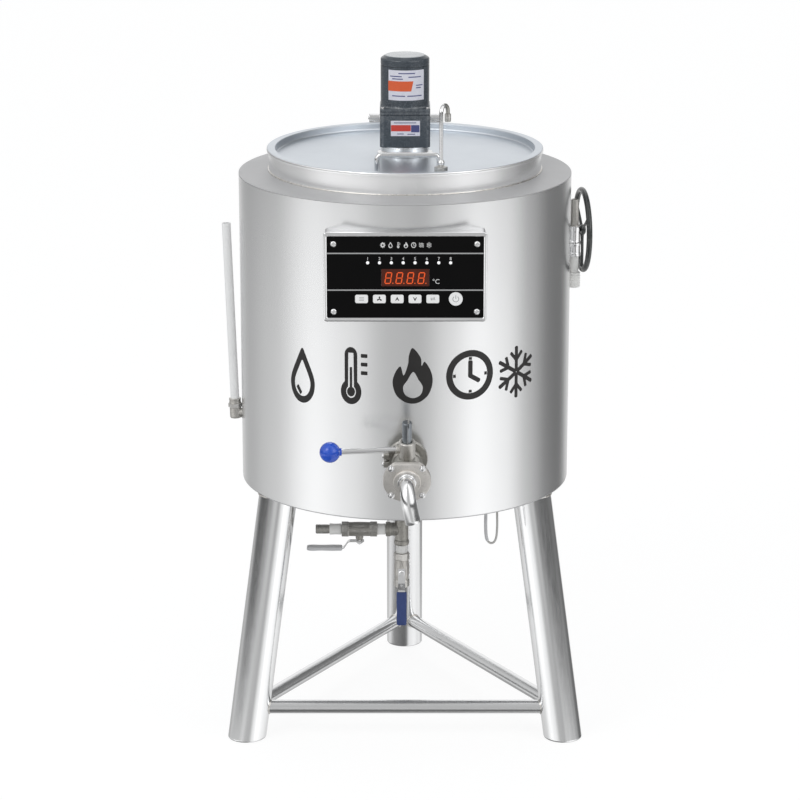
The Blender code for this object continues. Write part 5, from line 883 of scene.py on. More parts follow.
boxSizes = {"housing": (0.276, 0.153, 0.006), "back": 0.258, "front": 0.314, "bezel": (0.28, 0.157, 0.005),
            "face": (0.269, 0.143), "faceFront": 0.3163, "lineHigh": 0.04175, "lineLow": -0.0228,
            "line": (0.2685, 0.0022, 0.0002), "keys": -0.0383, "key": (0.0221, 0.0149, 0.003),
            "keyFlange": (0.0244, 0.0172, 0.0041), "lampStart": -0.0644, "lampStep": 0.02029,
            "keyDepth": 0.0032, "keyRise": 0.0012, "keyEdge": 0.0006, "startFlange": 0.0131,
            "startKey": 0.0119}
faceFront = boxSizes["faceFront"]
ink = (faceFront + 0.00003, faceFront + 0.00018)


def drawingMesh(curve, thick):
    curve.extrude = thick / 2
    holder = placed("drawing", curve)
    data = evaluatedMesh(holder)
    bpy.data.objects.remove(holder, do_unlink=True)
    return data


def flatShape(form, loops, where, low, high, mark=0, grid=None):
    # a filled flat drawing with holes, given a thickness; loops[0] is the outside
    curve = bpy.data.curves.new("drawing", "CURVE")
    curve.dimensions = "2D"
    curve.fill_mode = "BOTH"
    for loop in loops:
        line = curve.splines.new("POLY")
        line.points.add(len(loop) - 1)
        for spot, (x, y) in zip(line.points, loop):
            spot.co = (x, y, 0, 1)
        line.use_cyclic_u = True
    drawn = bmesh.new()
    drawn.from_mesh(drawingMesh(curve, high - low))
    bmesh.ops.remove_doubles(drawn, verts=drawn.verts[:], dist=1e-6)
    if grid:
        left, right = min(v.co.x for v in drawn.verts), max(v.co.x for v in drawn.verts)
        cuts = int((right - left) / grid)
        for order in range(1, cuts + 1):
            bmesh.ops.bisect_plane(drawn, geom=drawn.verts[:] + drawn.edges[:] + drawn.faces[:], dist=1e-7,
                                   plane_co=(left + (right - left) * order / (cuts + 1), 0, 0),
                                   plane_no=(1, 0, 0))
    made = {}
    for vertex in drawn.verts:
        spot = Vector((vertex.co.x, vertex.co.y, vertex.co.z + (low + high) / 2))
        made[vertex] = form.verts.new(where(spot) if callable(where) else where @ spot)
    for face in drawn.faces:
        form.faces.new([made[vertex] for vertex in face.verts]).material_index = mark
    drawn.free()


def numberShape(form, words, where, size=0.0075):
    curve = bpy.data.curves.new("number", "FONT")
    curve.body = words
    curve.size = size
    curve.align_x = curve.align_y = "CENTER"
    curve.resolution_u = 4
    data = drawingMesh(curve, ink[1] - ink[0])
    data.transform(where @ shift(0, 0, (ink[0] + ink[1]) / 2))
    form.from_mesh(data)


def stroke(start, end, wide, round=0.5):
    # outline of a straight stroke with softened ends
    a, b = Vector(start), Vector(end)
    along = (b - a).normalized() * wide / 2
    side = Vector((-along.y, along.x))
    made = []
    for centre, way in ((b, 1), (a, -1)):
        for step in range(9):
            angle = math.pi / 2 - math.pi * step / 8
            made.append(tuple(centre + way * (math.sin(angle) * side + math.cos(angle) * along * round)))
    return made


def ringLoops(x, y, outer, inner, steps=48):
    return [circle(radius, steps, x, y) for radius in (outer, inner) if radius]


def buildBox():
    width, height, corner = boxSizes["bezel"]
    front = boxSizes["front"]
    form = bmesh.new()
    roundedSlab(form, *boxSizes["housing"], boxSizes["back"], front, 0.0012, panel)
    finishPiece("controlHousing", form, "housingSteel", "control_housing")
    back, lip = front + 0.0003, front + 0.0036
    outside = [(0, back), (0, lip - 0.0016), (0.0005, lip - 0.0006), (0.0015, lip), (0.003, lip)]
    rings = outlineRings(width, height, corner, outside)
    width, height = boxSizes["face"]
    for grow, level in ((0.0012, lip - 0.0002), (0.0003, lip - 0.0009), (0.0003, back)):
        rings += outlineRings(width + 2 * grow, height + 2 * grow, 0.002 + grow, [(0, level)])
    form = bmesh.new()
    stack(form, rings, panel, 0, True)
    finishPiece("panelBezel", form, "bright", "panel_bezel")
    form = bmesh.new()
    for level in (boxSizes["lineHigh"], boxSizes["lineLow"]):
        roundedSlab(form, *boxSizes["line"], faceFront, faceFront + 0.0003, 0.0001,
                    panel @ shift(0, level, 0))
    finishPiece("panelLines", form, "printGrey")


digitSizes = {"tall": 0.0205, "wide": 0.0112, "thick": 0.0017, "slant": 0.15, "gap": 0.0004, "dot": 0.001}


def digitShape(form, high):
    # seven slanted segments and a point
    tall, wide, thick, slant, gap, dot = digitSizes.values()
    w, h = wide / 2 - thick / 2, tall / 2 - thick / 2

    def segment(points):
        flatShape(form, [[(x + slant * y, y) for x, y in points]], Matrix(), 0, high)

    for y in (h, 0, -h):
        t = thick / 2 if y else thick * 0.42
        segment([(-w + gap, y), (-w + t, y + t), (w - t, y + t), (w - gap, y), (w - t, y - t),
                 (-w + t, y - t)])
    for x in (-w, w):
        for base in (0, -h):
            y0, y1, t = base + gap, base + h - gap, thick / 2
            segment([(x, y0), (x + t, y0 + t), (x + t, y1 - t), (x, y1), (x - t, y1 - t), (x - t, y0 + t)])
    flatShape(form, ringLoops(wide / 2 + 0.0022, dot - tall / 2, dot, 0, 16), Matrix(), 0, high)


displaySizes = {
    "digits": {"Count": 4, "Start": (-0.029, -0.0017, faceFront - 0.00065), "Step": (0.01885, 0, 0)},
    "lamps": {"Count": 8, "Start": (boxSizes["lampStart"], 0.0253, faceFront),
              "Step": (boxSizes["lampStep"], 0, 0)},
    "screws": {"Columns": 2, "Rows": 2, "Width": 0.246, "Height": 0.119, "Centre": (0, -0.0018, faceFront)},
    "lamp": [(0, 0, 0), (0.0027, 0, 0), (0.0027, 0.0004, 0.0003), (0.0023, 0.0004, 0),
             (0.002, 0.0013, 0.0009), (0, 0.0016, 0)],
    "screw": [(0, 0, 0), (0.0055, 0, 0), (0.0055, 0.001, 0.0005), (0.0038, 0.003, 0.0014),
              (0.0021, 0.0032, 0.0003), (0.0021, 0.0014, 0), (0, 0.001, 0)],
}


def buildDisplay():
    form = bmesh.new()
    digitShape(form, 0.0002)
    repeated("displayDigits", form, rowTree, displaySizes["digits"], "digitGlow", panel)
    form = bmesh.new()
    turned(form, displaySizes["lamp"], 28)
    repeated("lampRow", form, rowTree, displaySizes["lamps"], "lampGlow", panel)
    form = bmesh.new()
    turned(form, displaySizes["screw"], 36)
    repeated("panelScrews", form, gridTree, displaySizes["screws"], "bright", panel)


def turnedLoop(points, angle):
    return [(x * math.cos(angle) - y * math.sin(angle), x * math.sin(angle) + y * math.cos(angle))
            for x, y in points]


def glyphMenu(draw):
    for level in (0.0024, 0, -0.0024):
        draw([[(x * 0.0042, level + y * 0.0005) for x, y in ((-1, -1), (1, -1), (1, 1), (-1, 1))]])


def glyphStir(draw):
    blade = [(0.0008, -0.0006), (0.003, -0.0017), (0.0044, -0.001), (0.0047, 0.0006), (0.003, 0.0012),
             (0.0008, 0.0008)]
    for order in range(3):
        draw([turnedLoop(blade, math.tau * order / 3 + math.pi / 2)])
    draw(ringLoops(0, 0, 0.0012, 0, 16))


def glyphUp(draw, up=1):
    shape = [(0, 0.004), (0.0034, -0.003), (0.0016, -0.003), (0.0012, -0.0014), (0, -0.0006),
             (-0.0012, -0.0014), (-0.0016, -0.003), (-0.0034, -0.003)]
    draw([[(x, y * up) for x, y in shape]])


def glyphDown(draw):
    glyphUp(draw, -1)


def glyphSwap(draw):
    arrow = [(-0.0042, -0.0004), (0.0016, -0.0004), (0.0016, -0.0014), (0.0044, 0.0003), (0.0016, 0.002),
             (0.0016, 0.0008), (-0.0042, 0.0008)]
    for way in (1, -1):
        draw([[(x * way, y + 0.0014 * way) for x, y in arrow]])


def glyphPower(draw):
    rounds = [math.radians(125 + 290 * step / 30) for step in range(31)]
    draw([[(0.0056 * math.cos(a), 0.0056 * math.sin(a)) for a in rounds]
          + [(0.0044 * math.cos(a), 0.0044 * math.sin(a)) for a in rounds[::-1]]])
    draw([stroke((0, 0.0008), (0, 0.0062), 0.0013)])


keyRow = {"key_mode": (-0.075, glyphMenu, "printGrey"), "key_stir": (-0.0444, glyphStir, "printBlack"),
          "key_up": (-0.0138, glyphUp, "printBlack"), "key_down": (0.0168, glyphDown, "printBlack"),
          "key_shift": (0.0474, glyphSwap, "printGrey"), "key_start": (0.0868, glyphPower, "printGrey")}


def buildKeys():
    flange, radius, edge = pick(boxSizes, "startFlange startKey keyEdge")
    low, top = faceFront - boxSizes["keyDepth"], faceFront + boxSizes["keyRise"]
    flangeTop = low + 0.0009
    for name, (x, glyph, colour) in keyRow.items():
        form = bmesh.new()
        where = panel @ shift(x, boxSizes["keys"], 0)
        if name == "key_start":
            turned(form, [(0, low, 0), (flange, low, 0), (flange, flangeTop, 0), (radius, flangeTop, 0),
                          (radius, top, edge), (0, top, 0)], 64, where)
        else:
            roundedSlab(form, *boxSizes["keyFlange"], low, flangeTop, 0.0001, where)
            roundedSlab(form, *boxSizes["key"], low + 0.0005, top, edge, where)
        glyph(lambda loops: flatShape(form, loops, where, top - 0.00005, top + 0.00006, 1))
        finishPiece(name.replace("_", "") + "Cap", form, "keyPlastic " + colour, name, name + "_cap")


buildBox()
buildDisplay()
buildKeys()
print("control box is built")

# ---- marks: generic signs for milk, heat, time and cold ------------------------------------------


def dropSign(draw):
    outer, inner = [], []
    for step in range(48):
        angle = math.tau * step / 48
        pull = max(math.sin(angle), 0) ** 3
        for scale, loop in ((1.0, outer), (0.66, inner)):
            loop.append((0.74 * scale * math.cos(angle) * (1 - 0.55 * pull),
                         -0.28 + scale * (0.72 * math.sin(angle) + 0.56 * pull)))
    draw([outer, inner])
    draw([stroke((-0.3, -0.42), (-0.1, -0.64), 0.15)])


def heatSign(draw):
    stem, bulb, bulbY = 0.27, 0.44, -0.56
    outer = [(bulb * math.cos(a), bulbY + bulb * math.sin(a)) for a in
             [math.radians(127.5 + 285 * step / 36) for step in range(37)]]
    outer += [(stem * math.cos(math.radians(a)), 0.73 + stem * math.sin(math.radians(a)))
              for a in range(0, 181, 15)]
    inner = [(x * 0.47, bulbY + (y - bulbY) * 0.5) if y < -0.2 else (x * 0.42, min(y, 0.8)) for x, y in outer]
    draw([outer, inner])
    draw(ringLoops(0, bulbY, 0.17, 0, 24))
    draw([stroke((0, bulbY), (0, 0.28), 0.1)])
    for level in (0.72, 0.42, 0.12):
        draw([stroke((0.44, level), (0.68, level), 0.13, 0.3)])


def softLoop(points, steps=6):
    # a smooth closed line through the points
    spots = [Vector(point) for point in points]
    return [tuple(splinePoint(*(spots[(order + k) % len(spots)] for k in (-1, 0, 1, 2)), step / steps))
            for order in range(len(spots)) for step in range(steps)]


def flameSign(draw):
    outer = [(0.0, 1.0), (0.3, 0.66), (0.34, 0.36), (0.46, 0.5), (0.68, 0.18), (0.76, -0.22), (0.62, -0.66),
             (0.32, -0.92), (0.0, -1.0), (-0.34, -0.92), (-0.64, -0.66), (-0.76, -0.24), (-0.66, 0.12),
             (-0.46, 0.34), (-0.34, 0.02), (-0.18, 0.42), (-0.14, 0.74)]
    inner = [(0.02, 0.14), (0.22, -0.14), (0.38, -0.4), (0.3, -0.68), (0.02, -0.8), (-0.28, -0.68),
             (-0.36, -0.4), (-0.2, -0.16)]
    draw([softLoop(outer), softLoop(inner)])


def clockSign(draw):
    draw(ringLoops(0, 0, 0.92, 0.68, 64))
    draw([stroke((0, -0.04), (0, 0.5), 0.17)])
    draw([stroke((-0.02, -0.02), (0.34, -0.24), 0.17)])
    for degrees in (0, 90, 180, 270):
        way = outwardAt(degrees).xy
        draw([stroke(way * 0.56, way * 0.66, 0.12, 0)])


def coldSign(draw):
    for order in range(6):
        way = outwardAt(60 * order + 30).xy
        side = Vector((-way.y, way.x))
        draw([stroke(way * 0.06, way * 0.94, 0.15)])
        for flip in (-1, 1):
            draw([stroke(way * 0.46, way * 0.74 + side * flip * 0.27, 0.13)])


def gearSign(draw):
    outer = []
    for order in range(8):
        for offset, reach in ((-14, 0.68), (-10, 0.95), (10, 0.95), (14, 0.68)):
            angle = math.radians(45 * order + offset)
            outer.append((reach * math.cos(angle), reach * math.sin(angle)))
    draw([outer] + ringLoops(0, 0, 0.34, 0, 24))


def waveSign(draw):
    for level in (0.5, 0, -0.5):
        path = [(-0.85 + 1.7 * s / 16, level + 0.17 * math.sin(s * math.pi / 4)) for s in range(17)]
        draw([[(x, y + 0.11) for x, y in path] + [(x, y - 0.11) for x, y in path[::-1]]])


# sign, place along the wall, height, half width, half height
wallSigns = [
    (dropSign, -0.1935, 0.709, 0.036, 0.05),
    (heatSign, -0.096, 0.7205, 0.043, 0.0515),
    (flameSign, 0.013, 0.724, 0.046, 0.05),
    (clockSign, 0.1165, 0.72, 0.0485, 0.0485),
    (coldSign, 0.213, 0.712, 0.046, 0.048),
]
faceSigns = {"row": (gearSign, dropSign, heatSign, flameSign, clockSign, waveSign, coldSign),
             "start": -0.0385, "step": 0.0132, "level": 0.0563, "half": (0.0047, 0.0053),
             "numberLevel": 0.0323}


def scaledLoops(loops, wide, tall):
    return [[(x * wide, y * tall) for x, y in loop] for loop in loops]


def wrapped(radius, along, level):
    # lays a flat drawing on an upright cylinder about the tank's axis
    def place(spot):
        angle = (along + spot.x) / radius - math.pi / 2
        reach = radius + spot.z
        return tank @ Vector((reach * math.cos(angle), reach * math.sin(angle), level + spot.y))
    return place


def buildSigns():
    for order, (sign, along, level, wide, tall) in enumerate(wallSigns):
        form = bmesh.new()
        onWall = wrapped(tankSizes["radius"], along, level)
        sign(lambda loops: flatShape(form, scaledLoops(loops, wide, tall), onWall, 0.00005, 0.0003,
                                     grid=0.006))
        finishPiece(f"wallSign{order}", form, "printBlack", sharp=45)
    form = bmesh.new()
    for order, sign in enumerate(faceSigns["row"]):
        where = panel @ shift(faceSigns["start"] + faceSigns["step"] * order, faceSigns["level"], 0)
        sign(lambda loops: flatShape(form, scaledLoops(loops, *faceSigns["half"]), where, *ink))
    for order in range(8):
        x = boxSizes["lampStart"] + boxSizes["lampStep"] * order
        numberShape(form, str(order + 1), panel @ shift(x, faceSigns["numberLevel"], 0))
    numberShape(form, "°C", panel @ shift(0.0528, -0.0082, 0), 0.0118)
    finishPiece("panelSigns", form, "printWhite", sharp=45)


buildSigns()
print("signs are drawn")

# ---- lid with its stirrer drive ------------------------------------------------------------------

lidSizes = {"top": 1.071, "sheet": 0.002, "rim": 0.249, "drop": 0.0062, "pan": 0.2335, "depth": 0.013,
            "shaftHole": 0.0125, "edge": 0.0006}
lidFoot = lidSizes["top"] - lidSizes["depth"] + 0.0003  # what stands on the lid starts here
handleSizes = {"left": -0.049, "right": 0.059, "y": -0.19, "bend": 0.009, "rise": 0.0337, "straight": 0.008,
               "radius": 0.0045}


def buildLid():
    top, sheet, rim, drop, pan, depth, hole, edge = pick(lidSizes,
                                                         "top sheet rim drop pan depth shaftHole edge")
    floor = top - depth
    form = bmesh.new()
    turned(form, [(hole, floor, 0), (pan, floor, 0.0035), (pan, top, 0.0016), (rim, top, 0.0022),
                  (rim, top - drop, edge), (rim - sheet, top - drop, edge), (rim - sheet, top - sheet, edge),
                  (pan + sheet, top - sheet, edge), (pan + sheet, floor - sheet, 0.004),
                  (hole, floor - sheet, 0)],
           192, tank, soft=6)
    markFaces(form, lambda spot: fromAxis(spot) > rim - edge)
    finishPiece("lidPan", form, "lidSteel neckSteel", "lid", "lid_unit")
    seal = [(0.2365, 1.0667, 0.0005), (0.2455, 1.0667, 0.0005), (0.2455, 1.0687, 0.0005),
            (0.2365, 1.0687, 0.0005)]
    turnedPiece("lidSeal", [(seal, 160, tank)], "rubber", "lid_gasket", "lid_unit")
    left, right, y, bend, rise, straight, radius = handleSizes.values()
    rise += lidFoot
    path = [(left, y, lidFoot), (left, y, lidFoot + straight)]
    path += arcOf((left + bend, y, rise - bend), (-1, 0, 0), (0, 0, 1), bend, 90, 12)
    path += arcOf((right - bend, y, rise - bend), (0, 0, 1), (1, 0, 0), bend, 90, 12)
    path += [(right, y, lidFoot + straight), (right, y, lidFoot)]
    form = bmesh.new()
    sweep(form, path, radius, 24, tank, hint=(0, 1, 0))
    finishPiece("lidHandle", form, "bright", "lid_handle", "lid_unit")
    for order, x in enumerate((left, right)):
        loop = [(u, v, lidFoot + 0.0006) for u, v in circle(radius + 0.0003, 40, x, y)]
        weldAlong(f"handleWeld{order}", loop, 0.0014, body="lid_unit", seed=31.0 + order)


ventSizes = {"place": (0.0621, -0.212, 0), "bore": 0.0022, "flange": 0.0085, "nut": 0.0115,
             "nutFoot": 0.006, "nutTop": 0.0175, "tube": 0.0035, "ball": 0.0062, "height": 0.1085,
             "bend": 0.0125, "turn": 62,
             "tail": ((0.0035, 0.0035), (0.0039, 0.0048), (0.0045, 0.0056), (0.0165, 0.0056), (0.0178, 0.005),
                      (0.018, 0.0044))}


def buildVent():
    where = tank @ shift(*ventSizes["place"])
    bore, tube, ball, bend = pick(ventSizes, "bore tube ball bend")
    nutFoot, nutTop = lidFoot + ventSizes["nutFoot"], lidFoot + ventSizes["nutTop"]
    form = bmesh.new()
    wide = ventSizes["flange"]
    turned(form, [(bore, lidFoot, 0), (wide, lidFoot, 0.0006), (wide, nutFoot + 0.002, 0),
                  (bore, nutFoot + 0.002, 0)], 32, where)
    hexagon(form, ventSizes["nut"], nutFoot, nutTop, 0.0011, where)
    finishPiece("ventBase", form, "castDark", "vent_base", "lid_unit")
    start = nutTop + 0.0003
    away = outwardAt(ventSizes["turn"])
    bendZ = start + ventSizes["height"] - bend - tube
    crook = arcOf(away * bend + Vector((0, 0, bendZ)), -away, (0, 0, 1), bend, 180, 20)
    path, radii = [], []
    for step in range(15):
        angle = math.pi * step / 14
        path.append(Vector((0, 0, start + ball * (1 - math.cos(angle)))))
        radii.append(max(ball * math.sin(angle), tube))
    path += [Vector((0, 0, start + 0.04)), Vector((0, 0, start + 0.066))] + crook
    radii += [tube] * (len(path) - len(radii))
    for drop, reach in ventSizes["tail"]:
        path.append(crook[-1] - drop * upward)
        radii.append(reach)
    form = bmesh.new()
    sweep(form, path, radii, 20, bore=bore, hint=(away.y, -away.x, 0))
    # faces past the middle of the bend, the return leg and its end take the dark cast finish: painted shade
    # on the far side of the crook, which lies in shadow
    markFaces(form, lambda spot: spot.dot(away) > 0.01)
    form.transform(where)
    finishPiece("ventTube", form, "bright castDark", "vent_tube", "lid_unit")


driveSizes = {"wide": 0.09, "corner": 0.008, "gearFoot": 0.0183, "gearHigh": 0.0645, "groove": 0.0015,
              "motor": 0.0437, "motorHigh": 0.0965, "motorGroove": 0.0185, "motorTop": 0.0345,
              "labelFront": 0.0451, "labelLevel": 1.1118, "motorLabelLevel": 0.047,
              "pedestal": ((0.0125, 0, 0), (0.05, 0, 0.0008), (0.05, 0.003, 0.0012), (0.042, 0.0055, 0.003),
                           (0.042, 0.0145, 0.002), (0.0445, 0.015, 0.0008), (0.0445, 0.018, 0.0006),
                           (0.0125, 0.018, 0))}


def buildDrive():
    pedestal = [(radius, lidFoot + level, soft) for radius, level, soft in driveSizes["pedestal"]]
    turnedPiece("drivePedestal", [(pedestal, 96, tank)], "bright", "motor_pedestal", "lid_unit")
    form = bmesh.new()
    rod(form, 0.0035, 0, 0.0028, 0.0006, 20)
    repeated("pedestalBolts", form, ringTree, {"Count": 6, "Radius": 0.0462, "Start Angle": 0.52}, "bright",
             tank @ shift(0, 0, lidFoot + 0.0028), "lid_unit")


def driveBlock(form, levels):
    stack(form, outlineRings(driveSizes["wide"], driveSizes["wide"], driveSizes["corner"], levels), tank)


def buildGearbox():
    base = lidFoot + driveSizes["gearFoot"]
    top, groove = base + driveSizes["gearHigh"], driveSizes["groove"]
    form = bmesh.new()
    driveBlock(form, [(0.0014, base), (0.0004, base + 0.0004), (0, base + 0.0014), (0, top - 0.0069),
                      (0.0003, top - 0.0066), (groove, top - 0.0064), (groove, top - 0.0051),
                      (0.0003, top - 0.0049), (0, top - 0.0046), (0, top - 0.0006), (0.0006, top)])
    finishPiece("gearHead", form, "darkPaint", "gearbox", "lid_unit")
    form = bmesh.new()
    turned(form, [(0, 0, 0), (0.0032, 0, 0), (0.0032, 0.003, 0.0006), (0.0017, 0.003, 0), (0.0017, 0.0012, 0),
                  (0, 0.0012, 0)], 20)
    repeated("gearScrews", form, gridTree, {"Columns": 2, "Rows": 2, "Width": 0.08, "Height": 0.08,
                                            "Centre": (0, 0, top + 0.0053)}, "bright", tank, "lid_unit")
    front, middle = pick(driveSizes, "labelFront labelLevel")
    form = bmesh.new()
    # left, right, foot and head of each field, its height off the plate, and its finish
    fields = [(-0.0254, 0.0266, -0.0138, 0.0138, 0.0003, 0), (-0.025, 0.0102, -0.0052, 0.006, 0.00045, 1),
              (0.0108, 0.0256, -0.007, 0.006, 0.00045, 2)]
    fields += [(x0, x1, level - 0.0007, level + 0.0007, 0.00045, 2) for x0, x1, level in
               ((-0.02, 0.02, 0.01), (-0.014, -0.002, -0.01), (0.004, 0.018, -0.0105))]
    for x0, x1, z0, z1, high, mark in fields:
        roundedSlab(form, x1 - x0, z1 - z0, 0.0008, front - 0.0002, front + high, 0.00005,
                    tank @ forward @ shift((x0 + x1) / 2, middle + (z0 + z1) / 2, 0), mark, 3)
    finishPiece("gearLabel", form, "labelWhite labelRed labelBlue", body="lid_unit")


def buildMotor():
    foot = lidFoot + driveSizes["gearFoot"] + driveSizes["gearHigh"] + 0.0003
    radius, top = driveSizes["motor"], foot + driveSizes["motorHigh"]
    groove, inner = top - driveSizes["motorGroove"], radius - 0.0015
    form = bmesh.new()
    turned(form, [(0, foot, 0), (radius, foot, 0), (radius, groove, 0.0005), (inner, groove, 0.0003),
                  (inner, groove + 0.0015, 0.0003), (radius, groove + 0.0015, 0.0005),
                  (radius, top - 0.006, 0.004), (driveSizes["motorTop"], top - 0.0004, 0.003), (0, top, 0)],
                  96, tank, soft=6)
    # faces at the very top take the pale paint: a painted highlight where the top faces the light
    markFaces(form, lambda spot: spot.z > top - 0.0016)
    driveBlock(form, [(0.0005, foot), (0, foot + 0.0005), (0, foot + 0.0043), (0.0007, foot + 0.005)])
    turned(form, [(radius - 0.001, foot + 0.004, 0), (radius + 0.0011, foot + 0.0045, 0),
                  (radius - 0.0001, foot + 0.0085, 0.001), (radius - 0.001, foot + 0.0085, 0)], 96, tank)
    finishPiece("motorCase", form, "darkPaint paintTop", "motor", "lid_unit")
    form = bmesh.new()
    onCase = wrapped(radius, 0, foot + driveSizes["motorLabelLevel"])
    fields = [(-0.032, 0.0375, -0.027, 0.027, 0.0003, 0, 0),
              (-0.0325, 0.015, -0.0105, 0.0075, 0.00045, 1, 0.004)]
    fields += [(x0, x1, level - 0.0009, level + 0.0009, 0.00045, 2, 0) for x0, x1, level in
               ((-0.012, 0.018, 0.0215), (-0.028, -0.006, 0.016), (0.006, 0.03, 0.015),
                (-0.024, -0.004, 0.0115), (0.02, 0.034, 0.0), (0.02, 0.03, -0.0045), (-0.024, 0.0, -0.019),
                (0.004, 0.032, -0.019))]
    for x0, x1, z0, z1, high, mark, slant in fields:
        flatShape(form, [[(x0, z0), (x1 - slant, z0), (x1, z1), (x0, z1)]], onCase, 0.00002, high, mark,
                  0.003)
    finishPiece("motorLabel", form, "labelWhite labelOrange labelBlue", body="lid_unit", sharp=45)


stirrerSizes = {"shaft": 0.008, "foot": 0.709, "top": 1.1043, "bladeLevel": 0.719, "pitch": 40,
                "blade": (0.059, 0.034, 0.006), "bladeMiddle": 0.0405,
                "hub": [(0.0083, 0.7092, 0), (0.014, 0.7042, 0.0015), (0.014, 0.734, 0.0015),
                        (0.0083, 0.734, 0)]}


def buildStirrer():
    form = bmesh.new()
    rod(form, stirrerSizes["shaft"], stirrerSizes["foot"], stirrerSizes["top"], 0.0006, 40, tank)
    finishPiece("stirrerShaft", form, "bright", "stirrer_shaft", "stirrer")
    form = bmesh.new()
    turned(form, stirrerSizes["hub"], 48, tank)
    rod(form, 0.0125, 0.704, 0.7088, 0.001, 48, tank)
    for order in range(3):
        where = tank @ shift(0, 0, stirrerSizes["bladeLevel"]) @ turn(120 * order, "Z")
        where = where @ turn(stirrerSizes["pitch"], "X") @ shift(stirrerSizes["bladeMiddle"], 0, 0)
        roundedSlab(form, *stirrerSizes["blade"], -0.0015, 0.0015, 0.0005, where)
    finishPiece("stirrerPaddle", form, "bright", "stirrer_paddle", "stirrer")


hingeSizes = {"y": 0.262, "z": 1.075, "half": 0.067, "gap": 0.0474, "leaf": 0.047, "back": 0.257,
              "tank": 0.2458, "low": 1.04, "high": 1.061, "pin": 0.003, "pinHalf": 0.069, "bore": 0.0033,
              "knuckle": 0.008, "edge": 0.0007,
              # depth, corner, foot, head and edge, and how far back it stands
              "cheek": (0.0165, 0.0008, 1.058, 1.0735, 0.0005), "cheekY": 0.25775,
              "leafPlate": (0.032, 0.004, 1.0713, 1.0743, 0.0006), "leafY": 0.242,
              "rivet": [(0, 0, 0), (0.004, 0, 0), (0.004, 0.0008, 0.0004), (0.0022, 0.0016, 0.0008),
                        (0, 0.0018, 0)],
              "rivets": {"Count": 3, "Start": (-0.032, 0.2385, 1.0743), "Step": (0.032, 0, 0)}}


def buildHinge():
    half, gap, leaf, near, bore, outer, edge = pick(hingeSizes, "half gap leaf tank bore knuckle edge")
    axis = tank @ shift(0, hingeSizes["y"], hingeSizes["z"])
    rounds = [math.asin(half / near) * (1 - 2 * step / 24) for step in range(25)]
    outline = [(-half, hingeSizes["back"]), (half, hingeSizes["back"])]
    outline += [(near * math.sin(a), near * math.cos(a)) for a in rounds]
    form = bmesh.new()
    stack(form, [[(px, py, level) for px, py in outline]
                 for level in (hingeSizes["low"], hingeSizes["high"])], tank)
    reach = (half - gap) / 2
    for side in (-1, 1):
        middle = side * (gap + half) / 2
        turned(form, bush(bore, outer, -reach, reach, edge), 40, axis @ shift(middle, 0, 0) @ rightward)
        where = tank @ shift(middle, hingeSizes["cheekY"], 0)
        roundedSlab(form, reach * 2, *hingeSizes["cheek"], where, 0, 3)
    finishPiece("hingeBracket", form, "bright", "hinge_bracket")
    form = bmesh.new()
    rod(form, hingeSizes["pin"], -hingeSizes["pinHalf"], hingeSizes["pinHalf"], 0.0008, 24, axis @ rightward)
    finishPiece("hingePin", form, "bright", "hinge_pin")
    form = bmesh.new()
    turned(form, bush(bore, outer, -leaf, leaf, edge), 40, axis @ rightward)
    roundedSlab(form, leaf * 2, *hingeSizes["leafPlate"], tank @ shift(0, hingeSizes["leafY"], 0), 0, 5)
    finishPiece("hingeLeaf", form, "bright", "hinge_leaf", "lid_unit")
    form = bmesh.new()
    turned(form, hingeSizes["rivet"], 24)
    repeated("leafRivets", form, rowTree, hingeSizes["rivets"], "bright", tank, "lid_unit")


buildLid()
buildVent()
buildDrive()
buildGearbox()
buildMotor()
buildStirrer()
buildHinge()
print("lid and drive are built")

# ---- outlet valve --------------------------------------------------------------------------------

outletShapes = {
    "pipe": [(0.016, 0, 0), (0.0362, 0, 0.0008), (0.0362, 0.008, 0.001), (0.019, 0.008, 0.002),
             (0.019, 0.082, 0), (0.016, 0.082, 0)],
    "body": [(0.0165, 0.0003, 0), (0.0268, 0.0003, 0.0008), (0.027, 0.01, 0.002), (0.0242, 0.014, 0.003),
             (0.0268, 0.024, 0.008), (0.0268, 0.04, 0.008), (0.0242, 0.05, 0.003), (0.027, 0.054, 0.002),
             (0.0268, 0.0637, 0.0008), (0.0165, 0.0637, 0)],
    "stemSeat": [(0.0088, 0.01, 0), (0.016, 0.018, 0.003), (0.0135, 0.0255, 0.002), (0.0135, 0.028, 0.0006),
                 (0.0088, 0.028, 0)],
    "leverHub": [(0.0088, 0.0283, 0), (0.0145, 0.0283, 0.0008), (0.0145, 0.0577, 0.0042),
                 (0.0088, 0.0577, 0.0008)],
    "leverRoot": [(0, 0.006, 0), (0.0078, 0.006, 0), (0.0078, 0.0195, 0.0012), (0, 0.0195, 0)],
    "flangeNut": [(0, -0.001, 0), (0.0058, -0.001, 0), (0.0058, 0.001, 0.0005), (0.0044, 0.0012, 0),
                  (0.0042, 0.004, 0.0018), (0, 0.0056, 0)],
    "clampBolt": [(0, 0.003, 0), (0.004, 0.003, 0), (0.0038, 0.0058, 0.0016), (0, 0.007, 0)],
    "collar": [(0.0125, 0.0773, 0), (0.0166, 0.0773, 0.001), (0.0172, 0.08, 0.002), (0.0158, 0.0836, 0.0016),
               (0.0125, 0.0842, 0)],
}
